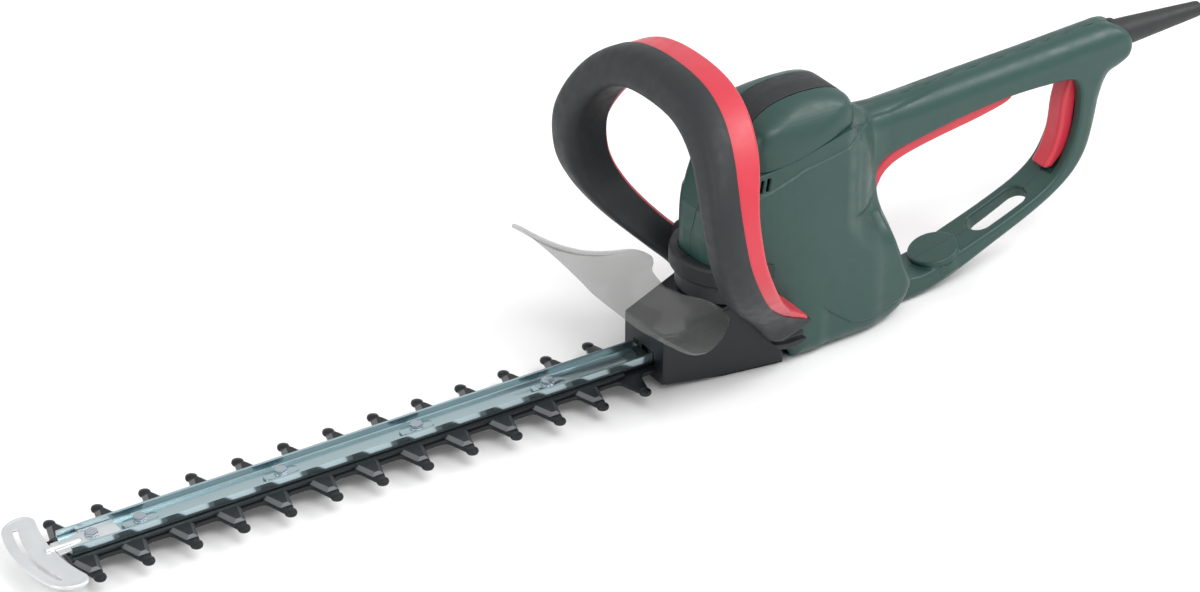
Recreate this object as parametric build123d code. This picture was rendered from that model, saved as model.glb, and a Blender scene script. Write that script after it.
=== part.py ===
from build123d import *
import os
from math import cos, pi, radians, sin

# Mains hedge trimmer, modelled at real size in millimetres.
# +X points to the blade tip, +Y to the user's left, +Z up.
# The origin is on the flat sole, straight below the crank axis.

os.makedirs("parts", exist_ok=True)

# ---- cutting unit ----
TOOTH_PITCH = 35.0
TEETH_PER_SIDE = 13
TIP_TOOTH_X = 510.0
LAST_TOOTH_X = TIP_TOOTH_X - TOOTH_PITCH * (TEETH_PER_SIDE - 1)
TOOTH_BALL_Y = 36.3
TOOTH_BALL_R = 4.4
COMB_Z = 12.4
COMB_THICK = 3.0
COMB_TOP = COMB_Z + COMB_THICK
SPINE_HALF = 17.0
BLADE_END_X = 519.0
CUTTER_Z = 15.5
CUTTER_TOP = 17.9
CUTTER_HALF = 15.5
CUTTER_TIP_Y = 30.6
CUTTER_SPINE_X = 93.0
STROKE = 18.0
CHANNEL_Z = 18.0
CHANNEL_FLOOR = 19.8
CHANNEL_RIM = 25.5
CHANNEL_HALF = 12.0
CHANNEL_WALL = 1.6
CHANNEL_START_X = 65.0
CHANNEL_END_X = 517.0
SCREW_XS = [147.0, 252.0, 357.0, 462.0]
TIP_BOLT_X = 497.0
BUSH_R = 5.0

# ---- crank drive ----
CRANK_R = STROKE / 2
CRANK_PIN_R = 4.0
ROD_LENGTH = 46.0
ROD_PIN_X = CRANK_R + ROD_LENGTH
ROD_Z = 18.2
ROD_THICK = 5.0
GEAR_MODULE = 0.9
GEAR_TEETH = 62
PINION_TEETH = 10
GEAR_Z = 27.0
GEAR_THICK = 8.0
MOTOR_X = -GEAR_MODULE * (GEAR_TEETH + PINION_TEETH) / 2
SHAFT_R = 6.0
ARMATURE_R = 4.0
FIT_GAP = 0.05
FAN_Z = 65.2

# ---- gearbox case ----
GEARBOX_FRONT_X = 68.0
GEARBOX_REAR_X = -22.0
GEARBOX_BOTTOM_FRONT = 5.0
GEARBOX_SOLE_END_X = 20.0
COMB_SCREW_XS = [12.0, 30.0]

# ---- casing: side outlines as (x, z) ----
WALL = 2.6
BODY_HALF = 43.0
NOSE_X = -3.0
NOSE_R = 35.0
NOSE_ARC = radians(60)
SOLE_EDGE_R = 14.0
COLLAR_R = 42.0
COLLAR_Z = 72.0
COLLAR_TOP = 87.0
GRIP_HALF = 17.5
BODY_OUTLINE = [
    (-30, 0), (-126, 0), (-146, 20), (-133, 68), (-116, 100), (-108, 150), (-106, 168),
    (-96, 177), (8, 151), (16, 136), (28, 118), (32, 100), (28, 62), (-24, 62), (-24, 30),
]
GRIP_OUTLINE = [
    (-100, 30), (-100, 164), (-205, 168), (-316, 173), (-332, 172.5), (-344, 166), (-348, 157),
    (-346, 147), (-338, 138.5), (-327, 136), (-322, 124), (-316, 104), (-308, 82), (-299, 66),
    (-284, 53), (-260, 40), (-227, 26), (-190, 12), (-160, 3), (-130, 1),
]
GRIP_OPENING = [
    (-144, 42), (-131, 70), (-120, 95), (-119, 121), (-132, 128), (-158, 133), (-193, 139),
    (-234, 142), (-240, 137.5), (-295, 137.5), (-297, 118), (-295, 97), (-291, 80), (-283, 66),
    (-268, 54), (-236, 41), (-200, 29), (-173, 20), (-158, 19), (-147, 25),
]
SLOT_X = -246.0
SLOT_LENGTH = 50.0
SLOT_HALF = 8.5
KNOB_X = -186.0
# Screws in the casing: (x, z, half width of the casing there)
SCREW_SPOTS = [
    (-112, 22, 32), (-98, 150, 37), (-86, 100, 39),
    (-200, 156, GRIP_HALF), (-264, 156, GRIP_HALF), (-312, 152, GRIP_HALF), (-152, 11, GRIP_HALF),
]

# ---- motor hood: side outline as (x, z) ----
HOOD_HALF = 40.0
HOOD_FRONT = (8.0, 151.3)
HOOD_REAR = (-96.0, 177.3)
HOOD_CREST = [HOOD_FRONT, (2, 168), (-10, 185), (-27, 197), (-48, 202.5), (-68, 199.5), (-84, 190), HOOD_REAR]
HOOD_CENTRE = (-44.0, 150.0)

# ---- front loop handle ----
LOOP_HALF_WIDTH = 14.0
LOOP_DEPTH = 20.0
LOOP_SPLIT = 8.0
BAIL_TRAVEL = 5.0
SWITCH_GAP = 0.4
# Middle line of one leg seen from the front as (y, z), and of the whole loop from the side as (x, z)
LOOP_LEG = [(47, 32), (50, 52), (60, 69), (78, 89), (92, 112), (96, 139), (90, 174), (70, 206), (40, 225)]
LOOP_TOP = [(0, 230)]
LOOP_LEAN = [(-29, 24), (-23, 32), (-7, 52), (10, 69), (29, 89), (45, 112), (56, 139), (59, 174), (53, 206),
             (46, 230), (42, 246)]

# ---- hand guard: (y, rear edge (x, z), front edge (x, z)) ----
GUARD_SECTIONS = [
    (0, (50, 79), (92, 58)),
    (18, (50, 78), (91, 58)),
    (32, (46, 73), (90, 60)),
    (44, (33, 66), (90, 62)),
    (60, (33, 66), (92, 67)),
    (75, (62, 66.5), (100, 78)),
    (86, (84, 73), (110, 88)),
    (92, (110, 90), (117, 95)),
]
GUARD_THICK = 3.0

# ---- rear switches: side outlines and pivots as (x, z) ----
TRIGGER_EDGE = [(-116, 94), (-118, 104), (-126, 113), (-142, 120), (-171, 126), (-210, 132), (-238, 138)]
TRIGGER_HALF = 14.4
TRIGGER_PIVOT = (-236.0, 146.0)
PADDLE_EDGE = [(-296, 134), (-292, 118), (-290, 97), (-285, 80), (-278, 69)]
PADDLE_HALF = 14.2
PADDLE_PIVOT = (-303.0, 142.0)

# ---- cable entry ----
CABLE_Z = 158.0
CABLE_R = 4.2
SLEEVE_END_X = -423.0


def save(shape, name):
    """Write one named piece."""
    export_step(shape, f"parts/{name}.step")


def prism_xz(face, low, high):
    """Prism of an outline drawn in X-Z, from y = low to y = high."""
    return extrude(Plane.XZ.offset(-high) * face, high - low)


def prism_xy(face, low, high):
    """Prism of an outline drawn in X-Y, from z = low to z = high."""
    return extrude(Pos(0, 0, low) * face, high - low)


def prism_yz(face, low, high):
    """Prism of an outline drawn in Y-Z, from x = low to x = high."""
    return extrude(Plane.YZ.offset(low) * face, high - low)


def polygon(points, radius=0.0):
    """Closed outline with every corner rounded to one radius."""
    face = make_face(Polyline(*points, close=True))
    if radius:
        face = fillet(face.vertices(), radius)
    return face


def block(x, y, z):
    """Box given by its (low, high) limits along each axis."""
    size = Box(x[1] - x[0], y[1] - y[0], z[1] - z[0], align=(Align.MIN,) * 3)
    return Pos(x[0], y[0], z[0]) * size


def rod_z(radius, low, high, x=0.0, y=0.0):
    """Round bar along Z."""
    bar = Cylinder(radius, high - low, align=(Align.CENTER, Align.CENTER, Align.MIN))
    return Pos(x, y, low) * bar


def rod_y(radius, low, high, x, z):
    """Round bar along Y."""
    return prism_xz(Pos(x, z) * Circle(radius), low, high)


def rod_x(radius, low, high, y, z):
    """Round bar along X."""
    return prism_yz(Pos(y, z) * Circle(radius), low, high)


def both_sides(points):
    """Mirror a list of (along, across) points to close a symmetric outline."""
    return points + [(a, -b) for a, b in reversed(points)]


# ---------------------------------------------------------------- cutting unit

def tooth_outline(x, root_half, tip_half, root_y, tip_y):
    """One tooth pointing to +Y, with hollow flanks."""
    bend_half = tip_half + (root_half - tip_half) * 0.36
    bend_y = root_y + (tip_y - root_y) * 0.36
    front = ThreePointArc((x + root_half, root_y), (x + bend_half, bend_y), (x + tip_half, tip_y))
    tip = Line((x + tip_half, tip_y), (x - tip_half, tip_y))
    back = ThreePointArc((x - tip_half, tip_y), (x - bend_half, bend_y), (x - root_half, root_y))
    root = Line((x - root_half, root_y), (x + root_half, root_y))
    return make_face([front, tip, back, root])


def toothed_plate(half, root_half, tip_half, tip_y, start_x, teeth):
    """Flat outline of a blade: a spine with teeth along both edges."""
    length = BLADE_END_X - start_x
    plate = Pos(start_x + length / 2, 0) * Rectangle(length, 2 * half)
    for i in range(teeth):
        x = TIP_TOOTH_X - i * TOOTH_PITCH
        tooth = tooth_outline(x, root_half, tip_half, half - 0.5, tip_y)
        plate += [tooth, mirror(tooth, about=Plane.XZ)]
    trim = Pos(BLADE_END_X - 300, 0) * Rectangle(600, 100)
    return plate & trim


def tooth_comb():
    """Fixed comb with ball-ended teeth, carried on into the gearbox."""
    plate = toothed_plate(SPINE_HALF, 12.0, 3.5, 33.0, LAST_TOOTH_X - 17, TEETH_PER_SIDE)
    tail = Pos(38, 0) * Rectangle(74, 22)
    comb = extrude(Pos(0, 0, COMB_Z) * (plate + tail), COMB_THICK)
    for i in range(TEETH_PER_SIDE):
        x = TIP_TOOTH_X - i * TOOTH_PITCH
        for side in (1, -1):
            comb += rod_z(TOOTH_BALL_R, COMB_Z - 1, COMB_TOP + 1, x, side * TOOTH_BALL_Y)
    for x in SCREW_XS + [TIP_BOLT_X]:
        comb -= rod_z(3.0, COMB_Z - 1, COMB_TOP + 1, x)
    for x in COMB_SCREW_XS:
        comb -= rod_z(2.6, COMB_Z - 1, COMB_TOP + 1, x)
    return comb


def cutter_blade():
    """Moving blade, one tooth shorter than the comb: its slots run on the fixed bushes."""
    plate = toothed_plate(CUTTER_HALF, 10.5, 3.2, CUTTER_TIP_Y, CUTTER_SPINE_X, TEETH_PER_SIDE - 1)
    plate += Pos(70, 0) * Rectangle(54, 20)
    for x in SCREW_XS + [TIP_BOLT_X]:
        slot = Pos(x + STROKE / 2, 0) * SlotOverall(STROKE + 2 * BUSH_R + 0.4, 2 * BUSH_R + 0.2)
        plate -= slot
    blade = extrude(Pos(0, 0, CUTTER_Z) * plate, CUTTER_TOP - CUTTER_Z)
    pin = rod_z(3.5, CUTTER_TOP - 1, ROD_Z + ROD_THICK + 0.3, ROD_PIN_X)
    return blade + pin


def guide_channel():
    """Folded steel channel that holds the blade stack, open at the top."""
    outline = both_sides([
        (CHANNEL_Z, CHANNEL_HALF),
        (CHANNEL_RIM, CHANNEL_HALF),
        (CHANNEL_RIM, CHANNEL_HALF - CHANNEL_WALL),
        (CHANNEL_FLOOR, CHANNEL_HALF - CHANNEL_WALL),
    ])
    face = polygon([(y, z) for z, y in outline])
    channel = prism_yz(face, CHANNEL_START_X, CHANNEL_END_X)
    for x in SCREW_XS + [TIP_BOLT_X]:
        channel -= rod_z(3.0, CHANNEL_Z - 1, CHANNEL_FLOOR + 1, x)
    return channel


def blade_bushes():
    """Spacer bushes that the cutter's slots run on."""
    bushes = []
    for x in SCREW_XS + [TIP_BOLT_X]:
        bushes.append(rod_z(BUSH_R, COMB_TOP, CHANNEL_Z, x) - rod_z(3.0, COMB_TOP, CHANNEL_Z, x))
    return Compound(bushes)


def screw_plates():
    """Oblong clamp plates under the blade screws."""
    plates = []
    for x in SCREW_XS:
        plate = Pos(x, 0, CHANNEL_FLOOR) * extrude(SlotOverall(26, 9), 1.5)
        plates.append(plate - rod_z(3.0, CHANNEL_FLOOR, CHANNEL_FLOOR + 2, x))
    return Compound(plates)


def hex_screw(x, head_z, tip_z, across=9.5, head=3.2, radius=2.95):
    """Hexagon-headed screw pointing down."""
    cap = Pos(x, 0, head_z) * extrude(RegularPolygon(across / 2, 6, major_radius=False), head)
    return cap + rod_z(radius, tip_z, head_z, x)


def tip_guard():
    """Crescent bumper plate on a tongue that lies in the channel."""
    outer_r = 58.0
    inner_r = 78.0
    crescent = Pos(551 - outer_r, 0) * Circle(outer_r)
    crescent -= Pos(520 - inner_r, 0) * Circle(inner_r)
    crescent &= Pos(540, 0) * Rectangle(60, 92)
    crescent = fillet(crescent.vertices(), 5.0)
    slot = Pos(539 - 70, 0) * (Circle(71.2) - Circle(68.8))
    slot &= Pos(539, 0) * Rectangle(30, 66)
    plate = extrude(Pos(0, 0, 18.3) * (crescent - slot), 1.8)
    ramp_side = [(526, 18.3), (526, 20.1), (516, 21.7), (500, 21.7), (500, 19.9), (518, 19.9)]
    ramp = prism_xz(polygon(ramp_side), -8, 8)
    tongue = block((478, 502), (-10, 10), (CHANNEL_FLOOR + 0.1, 21.7))
    rib = prism_xz(polygon([(480, 21.7), (484, 22.9), (488, 21.7)]), -7, 7)
    spine_rib = prism_xz(polygon([(505, 21.5), (512, 23.4), (526, 21.4), (531, 20.0), (520, 19.5)]), -2.5, 2.5)
    return plate + ramp + tongue + rib + spine_rib - rod_z(3.0, 18, 24, TIP_BOLT_X)


# ---------------------------------------------------------------- crank drive

def gear_outline(teeth, module=GEAR_MODULE, phase=0.0):
    """Spur gear outline with straight-flanked teeth."""
    pitch_r = module * teeth / 2
    root_r = pitch_r - 1.25 * module
    tip_r = pitch_r + 0.92 * module
    step = 2 * pi / teeth
    points = []
    for i in range(teeth):
        middle = phase + i * step
        for radius, share in ((root_r, -0.36), (tip_r, -0.12), (tip_r, 0.12), (root_r, 0.36)):
            angle = middle + share * step
            points.append((radius * cos(angle), radius * sin(angle)))
    return polygon(points)


def crank_gear():
    """Large gear with the crank pin standing down from its lower face."""
    gear = extrude(Pos(0, 0, GEAR_Z) * gear_outline(GEAR_TEETH), GEAR_THICK)
    gear -= rod_z(SHAFT_R, GEAR_Z, GEAR_Z + GEAR_THICK)
    for i in range(6):
        angle = pi * (i + 0.5) / 3
        gear -= rod_z(4.5, GEAR_Z + 3, GEAR_Z + GEAR_THICK, 17.5 * cos(angle), 17.5 * sin(angle))
    return gear + rod_z(CRANK_PIN_R, ROD_Z + ROD_THICK + 0.5, GEAR_Z, CRANK_R)


def connecting_rod():
    """Rod from the crank pin to the cutter's pin, with a bushed big end."""
    bar = Pos((CRANK_R + ROD_PIN_X) / 2, 0) * Rectangle(ROD_LENGTH, 9)
    rod = bar + Pos(CRANK_R, 0) * Circle(9.0) + Pos(ROD_PIN_X, 0) * Circle(7.5)
    rod -= Pos(CRANK_R, 0) * Circle(6.0)
    rod -= Pos(ROD_PIN_X, 0) * Circle(3.5 + FIT_GAP)
    return extrude(Pos(0, 0, ROD_Z) * rod, ROD_THICK)


def rod_bush():
    """Bronze bush in the rod's big end."""
    ring = Circle(6.0) - Circle(CRANK_PIN_R + FIT_GAP)
    return extrude(Pos(CRANK_R, 0, ROD_Z) * ring, ROD_THICK)


def ball_bearing(outer, inner, low, high, x=0.0):
    """Bearing made of two rings and its balls."""
    mid = (low + high) / 2
    track = (outer + inner) / 2
    land = (outer - inner) * 0.28
    rings = [
        rod_z(outer, low, high, x) - rod_z(outer - land, low, high, x),
        rod_z(inner + land, low, high, x) - rod_z(inner, low, high, x),
    ]
    balls = []
    for i in range(8):
        angle = i * pi / 4
        spot = Pos(x + track * cos(angle), track * sin(angle), mid)
        balls.append(spot * Sphere(track - inner - land))
    return Compound(rings + balls)


def bearing_bridge():
    """Cast bridge that carries the gear shaft and the motor's lower bearing."""
    plan = make_hull([
        (Pos(0, 0) * Circle(19)).edges().sort_by(Axis.X)[0],
        (Pos(MOTOR_X, 0) * Circle(25)).edges().sort_by(Axis.X)[0],
    ])
    bridge = extrude(Pos(0, 0, 36.5) * plan, 16.5)
    bridge &= block((-60, 14.5), (-30, 30), (30, 60))
    bridge -= rod_z(14.0, 37.0, 60.0)
    bridge -= rod_z(8.0, 36.0, 60.0)
    bridge -= rod_z(11.0, 39.0, 60.0, MOTOR_X)
    bridge -= rod_z(6.5, 36.0, 60.0, MOTOR_X)
    return bridge


# ---------------------------------------------------------------- motor

def motor_pinion():
    """Small gear on the armature shaft, in mesh with the crank gear."""
    half_tooth = pi / PINION_TEETH
    outline = gear_outline(PINION_TEETH, phase=half_tooth) - Circle(2.5)
    return extrude(Pos(MOTOR_X, 0, GEAR_Z - 0.5) * outline, GEAR_THICK + 1)


def armature_shaft():
    """Stepped motor shaft."""
    shaft = rod_z(ARMATURE_R, GEAR_Z + GEAR_THICK + 0.5, 184, MOTOR_X)
    return shaft + rod_z(2.5, GEAR_Z - 0.5, 40, MOTOR_X)


def armature_core():
    """Slotted lamination stack."""
    stack = Circle(21.5) - Circle(ARMATURE_R)
    for i in range(12):
        stack -= Rot(0, 0, 30 * i) * Pos(20, 0) * Rectangle(9, 3)
    return extrude(Pos(MOTOR_X, 0, 80) * stack, 46)


def armature_windings():
    """End turns above and below the stack."""
    ends = []
    for low, high in ((73, 80), (126, 134)):
        ring = Circle(18) - Circle(ARMATURE_R)
        ends.append(extrude(Pos(MOTOR_X, 0, low) * ring, high - low))
    return Compound(ends)


def commutator():
    """Copper segments with gaps between them."""
    ring = Circle(12) - Circle(ARMATURE_R)
    for i in range(24):
        ring -= Rot(0, 0, 15 * i) * Pos(12, 0) * Rectangle(3, 0.6)
    return extrude(Pos(MOTOR_X, 0, 138) * ring, 18)


def cooling_fan():
    """Fan disc with radial blades."""
    fan = rod_z(30, FAN_Z, FAN_Z + 1.6, MOTOR_X) + rod_z(9, FAN_Z, FAN_Z + 6.2, MOTOR_X)
    for i in range(14):
        blade = Box(21, 1.6, 5.2, align=(Align.MIN, Align.CENTER, Align.MIN))
        fan += Pos(MOTOR_X, 0, FAN_Z + 0.8) * Rot(0, 0, i * 360 / 14) * Pos(7, 0, 0) * blade
    return fan - rod_z(ARMATURE_R, FAN_Z, FAN_Z + 7, MOTOR_X)


def stator_core():
    """Field lamination stack."""
    return rod_z(36, 80, 126, MOTOR_X) - rod_z(22.3, 80, 126, MOTOR_X)


def field_windings():
    """Field coil end turns."""
    ends = []
    for low, high in ((72, 80), (126, 134)):
        ends.append(rod_z(34, low, high, MOTOR_X) - rod_z(23.5, low, high, MOTOR_X))
    return Compound(ends)


def brush_carrier():
    """Plastic ring that carries the brush holders."""
    ring = rod_z(34, 135, 139.5, MOTOR_X) - rod_z(16, 135, 139.5, MOTOR_X)
    return ring


def brush_holders():
    """Two brass brush tubes."""
    tubes = []
    for side in (1, -1):
        low, high = sorted((side * 15.5, side * 33))
        tube = block((MOTOR_X - 5, MOTOR_X + 5), (low, high), (139.5, 152))
        tube -= block((MOTOR_X - 3.5, MOTOR_X + 3.5), (low, high), (141, 150.5))
        tubes.append(tube)
    return Compound(tubes)


def carbon_brushes():
    """Two brushes, just clear of the commutator."""
    brushes = []
    for side in (1, -1):
        low, high = sorted((side * 12.3, side * 25))
        brushes.append(block((MOTOR_X - 3.4, MOTOR_X + 3.4), (low, high), (141.1, 150.4)))
    return Compound(brushes)


def motor_top_bracket():
    """Bracket that holds the motor's upper bearing inside the hood."""
    bracket = rod_z(27, 172, 175, MOTOR_X) + rod_z(13, 172, 183, MOTOR_X)
    return bracket - rod_z(10, 175, 183, MOTOR_X) - rod_z(6, 170, 176, MOTOR_X)


# ---------------------------------------------------------------- gearbox case


def gearbox_plan(inset):
    """Plan of the gearbox, narrow at the blade and widening to the body."""
    front = GEARBOX_FRONT_X - inset
    return polygon(both_sides([
        (front, 24.4 - inset),
        (GEARBOX_REAR_X, 38.0 - inset),
        (GEARBOX_REAR_X - 6, 38.5 - inset),
    ]))


def gearbox_side(inset, floor):
    """Side outline of the gearbox, its roof falling towards the blade."""
    return polygon([
        (GEARBOX_SOLE_END_X, floor),
        (GEARBOX_FRONT_X - inset, GEARBOX_BOTTOM_FRONT + floor),
        (GEARBOX_FRONT_X - inset, 43.0 - inset),
        (12, 59.0 - inset),
        (GEARBOX_REAR_X, 62.0 - inset),
        (GEARBOX_REAR_X, 30.0),
        (GEARBOX_REAR_X - 5, floor),
    ])


def gearbox_solid(inset, floor=0.0):
    """Gearbox volume moved in by a wall thickness."""
    side = prism_xz(gearbox_side(inset, floor), -60, 60)
    return side & prism_xy(gearbox_plan(inset), -8, 80)


def gearbox_cover():
    """Black upper gearbox case, open below and behind."""
    cavity = gearbox_solid(2.8, -6)
    cavity += block((GEARBOX_REAR_X - 8, 0), (-31.5, 31.5), (4, 56))
    cavity += block((GEARBOX_REAR_X - 8, GEARBOX_REAR_X), (-35.8, 35.8), (-1, 40))
    mouth = block((60, 72), (-12.4, 12.4), (12.2, 25.8))
    return gearbox_solid(0) - cavity - mouth


def gearbox_base():
    """Bottom plate with the pad that the comb is bolted to."""
    plate = gearbox_solid(2.9, 0)
    plate &= prism_xz(polygon([(70, -5), (70, 8), (GEARBOX_SOLE_END_X, 3), (-30, 3), (-30, -5)]), -60, 60)
    pad = block((4, 62), (-11, 11), (2.9, COMB_Z))
    plate += pad
    for x in COMB_SCREW_XS:
        plate -= rod_z(2.6, -1, COMB_Z + 1, x)
        plate -= rod_z(4.6, -1, 5.5, x)
    return plate


def comb_screws():
    """Screws that hold the comb on the bottom plate."""
    screws = []
    for x in COMB_SCREW_XS:
        screws.append(rod_z(4.5, 3.2, 5.5, x) + rod_z(2.5, 5.4, COMB_TOP, x))
    return Compound(screws)


def grease_seal():
    """Felt frame behind the gearbox mouth."""
    ring = block((60.5, 65), (-20, 20), (8.5, 32)) - block((60, 66), (-12.4, 12.4), (8, 25.9))
    return ring


# ---------------------------------------------------------------- body casing


def body_plan(inset):
    """Plan of the motor body: round nose, full flanks, narrower tail."""
    nose = NOSE_R - inset
    half = BODY_HALF - inset
    nose_x = NOSE_X + nose * cos(NOSE_ARC)
    nose_y = nose * sin(NOSE_ARC)
    front = ThreePointArc((nose_x, -nose_y), (NOSE_X + nose, 0), (nose_x, nose_y))
    left = Spline((nose_x, nose_y), (-12, half - 3.5), (-45, half), (-90, half - 3), (-128, half - 13))
    corner = half - 13
    tail_x = -146 + inset
    tail = Spline((-128, corner), (tail_x, 0), (-128, -corner))
    right = Spline((-128, -corner), (-90, 3 - half), (-45, -half), (-12, 3.5 - half), (nose_x, -nose_y))
    return make_face([front, left, tail, right])


def body_solid(inset):
    """Motor body volume moved in by a wall thickness."""
    side = polygon(BODY_OUTLINE, 0)
    if inset:
        side = offset(side, -inset, kind=Kind.INTERSECTION)
    tall = 400.0
    section = Pos(0, inset + tall / 2) * RectangleRounded(2 * (BODY_HALF - inset), tall, SOLE_EDGE_R)
    return prism_xz(side, -60, 60) & prism_xy(body_plan(inset), -1, 200) & prism_yz(section, -160, 60)


def grip_solid(inset):
    """Rear D-handle volume moved in by a wall thickness, its long edges stepped back."""
    ring = polygon(GRIP_OUTLINE)
    hole = polygon(GRIP_OPENING)
    if inset:
        return prism_xz(
            offset(ring, -inset, kind=Kind.INTERSECTION) - offset(hole, inset, kind=Kind.INTERSECTION),
            inset - GRIP_HALF, GRIP_HALF - inset)
    solid = prism_xz(ring - hole, 4 - GRIP_HALF, GRIP_HALF - 4)
    for step, half in ((1.2, GRIP_HALF - 2), (3.4, GRIP_HALF)):
        rim = offset(ring, -step, kind=Kind.INTERSECTION) - offset(hole, step, kind=Kind.INTERSECTION)
        solid += prism_xz(rim, -half, half)
    return solid


def knob(inset):
    """Oval cord hook on the lower bar."""
    outline = Ellipse(20 - inset, 19 - inset)
    return prism_xy(Pos(KNOB_X, 0) * outline, 14 + inset, 32 - inset)


def cord_slot(margin):
    """Oblong way through the lower bar for a loop of extension cord."""
    slot = Pos(SLOT_X, 0) * SlotOverall(SLOT_LENGTH + 2 * margin, 2 * (SLOT_HALF + margin))
    return prism_xy(slot, 5, 75)


def casing_outer():
    """Outer volume of both casing halves."""
    outer = body_solid(0) + grip_solid(0) + knob(0)
    opening = prism_xz(polygon(GRIP_OPENING), -60, 60)
    lower_clear = opening & block((-400, -146), (-60, 60), (32.0, 200))
    outer -= lower_clear
    return outer - cord_slot(0)


def casing_shell():
    """Both halves before they are parted, hollow and open at the front."""
    inner = body_solid(WALL) + grip_solid(WALL) - cord_slot(WALL)
    neck = block((-60, -20), (-34, 34), (3.2, 59.5))
    nose_floor = block((-60, 20), (-28, 28), (50, 66))
    shell = casing_outer() - inner - neck - nose_floor
    shell -= block((-100, -20), (-34, 34), (140, 185))
    shell -= rod_z(34, 140, 175, MOTOR_X)
    for x, z, half in SCREW_SPOTS:
        shell += rod_y(4.4, 3 - half, half - 3, x, z)
    for x, z, half in SCREW_SPOTS:
        shell -= rod_y(2.15, -60, half - 5, x, z)
        shell -= rod_y(4.3, -60, 5 - half, x, z)
    shell -= trigger_room()
    shell -= paddle_room()
    shell -= rod_x(11.0, -362, -332, 0, CABLE_Z)
    shell -= rod_x(13.2, -342, -337, 0, CABLE_Z)
    for side in (1, -1):
        shell -= side_vents(side)
    shell -= gearbox_solid(-FIT_GAP)
    return shell.solids().sort_by(SortBy.VOLUME)[-1]


def side_vents(side):
    """Five slanting air slits high on one flank."""
    low, high = sorted((side * 36, side * 50))
    slits = Part()
    for i in range(5):
        x = 2 - 7 * i
        z = 131 + 1.5 * i
        slits += prism_xz(polygon([(x, z), (x + 3, z), (x, z + 14), (x - 3, z + 14)]), low, high)
    return slits


def casing_half(shell, side):
    """Part the casing on the middle plane."""
    low, high = sorted((0, side * 80))
    return shell & block((-500, 100), (low, high), (-10, 250))


# ---------------------------------------------------------------- motor hood


def hood_solid(inset):
    """Domed hood volume moved in by a wall thickness, running down past its joint."""
    shrink = 1 - inset / 52
    cx, cz = HOOD_CENTRE
    crest = [(cx + (x - cx) * shrink, cz + (z - cz) * shrink) for x, z in HOOD_CREST]
    front, rear = crest[0], crest[-1]
    face = make_face([
        Spline(*crest), Line(rear, (rear[0], 130)), Line((rear[0], 130), (front[0], 130)), Line((front[0], 130), front),
    ])
    half = HOOD_HALF - inset
    arch = make_face([
        Line((-half, 120), (-half, 168)),
        Spline((-half, 168), (-half + 7, 188 - inset), (-17, 200 - inset), (0, 203 - inset),
               (17, 200 - inset), (half - 7, 188 - inset), (half, 168)),
        Line((half, 168), (half, 120)),
        Line((half, 120), (-half, 120)),
    ])
    solid = prism_xz(face, -60, 60) & prism_yz(arch, -110, 30)
    return solid & prism_xy(Pos(cx, 0) * Ellipse(56 - inset, 46 - inset), 100, 230)


def above_parting():
    """Everything above the sloping joint between the hood and the casing."""
    front_z = HOOD_FRONT[1]
    rear_z = HOOD_REAR[1]
    side = polygon([HOOD_FRONT, (40, front_z), (40, 230), (-130, 230), (-130, rear_z), HOOD_REAR])
    return prism_xz(side, -60, 60)


def hood_stripe():
    """Soft strip let into the top of the hood."""
    strip = (hood_solid(0) - hood_solid(1.5)) & above_parting()
    return strip & block((-92, 6), (-14, 14), (165, 230))


def motor_hood():
    """Hood over the motor's upper end, hollow and open below."""
    return (hood_solid(0) & above_parting()) - hood_solid(WALL) - hood_stripe()


# ---------------------------------------------------------------- front collar

def front_collar():
    """Dark ring round the nose with an arm down each flank, cut clear of its neighbours."""
    collar = rod_z(COLLAR_R, COLLAR_Z, COLLAR_TOP, NOSE_X) & block((-22, 60), (-60, 60), (60, 90))
    for side in (1, -1):
        low, high = sorted((side * 34, side * 50))
        arm = polygon([(10, 72), (10, 87), (-22, 87), (-60, 36), (-60, 22), (-46, 15), (-30, 26), (-8, 60)])
        collar += prism_xz(arm, low, high)
    collar -= body_solid(-FIT_GAP)
    collar -= gearbox_solid(-FIT_GAP)
    return collar - loop_volume(14.4, 20.4, 20.4)


# ---------------------------------------------------------------- front handle


def loop_ring(half):
    """Front view of the loop, as a band of constant width."""
    points = [(-y, z) for y, z in LOOP_LEG] + LOOP_TOP + list(reversed(LOOP_LEG))
    middle = Spline(*points)
    outer = []
    inner = []
    steps = 40
    for i in range(steps + 1):
        spot = middle @ (i / steps)
        way = middle % (i / steps)
        side = Vector(-way.Y, way.X) * half
        outer.append(spot + side)
        inner.append(spot - side)
    return make_face([
        Spline(*outer), Line(outer[-1], inner[-1]), Spline(*reversed(inner)), Line(inner[0], outer[0]),
    ])


def lean_slab(front, rear):
    """Side view of the loop, leaning forward: limits measured from its middle line."""
    ahead = [(x + front, z) for x, z in LOOP_LEAN]
    behind = [(x - rear, z) for x, z in LOOP_LEAN]
    return make_face([
        Spline(*ahead), Line(ahead[-1], behind[-1]), Spline(*reversed(behind)), Line(behind[0], ahead[0]),
    ])


def loop_volume(half, front, rear):
    """Part of the loop between two leaning surfaces."""
    ring = prism_yz(loop_ring(half), -80, 120)
    return ring & prism_xz(lean_slab(front, rear), -130, 130)


def front_handle():
    """Soft-grip loop handle, hollow and open at the rear for the switch bar."""
    grip = loop_volume(LOOP_HALF_WIDTH, LOOP_DEPTH, LOOP_SPLIT)
    channel = loop_volume(LOOP_HALF_WIDTH - 2.0, 13.0, LOOP_SPLIT + 1)
    grip -= channel & block((-60, 130), (-130, 130), (44, 260))
    foot = loop_volume(LOOP_HALF_WIDTH, -LOOP_SPLIT + 0.5, LOOP_DEPTH)
    grip += foot & block((-80, 60), (-130, 130), (20, 42))
    grip -= body_solid(-FIT_GAP)
    return grip - gearbox_solid(-FIT_GAP)


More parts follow.
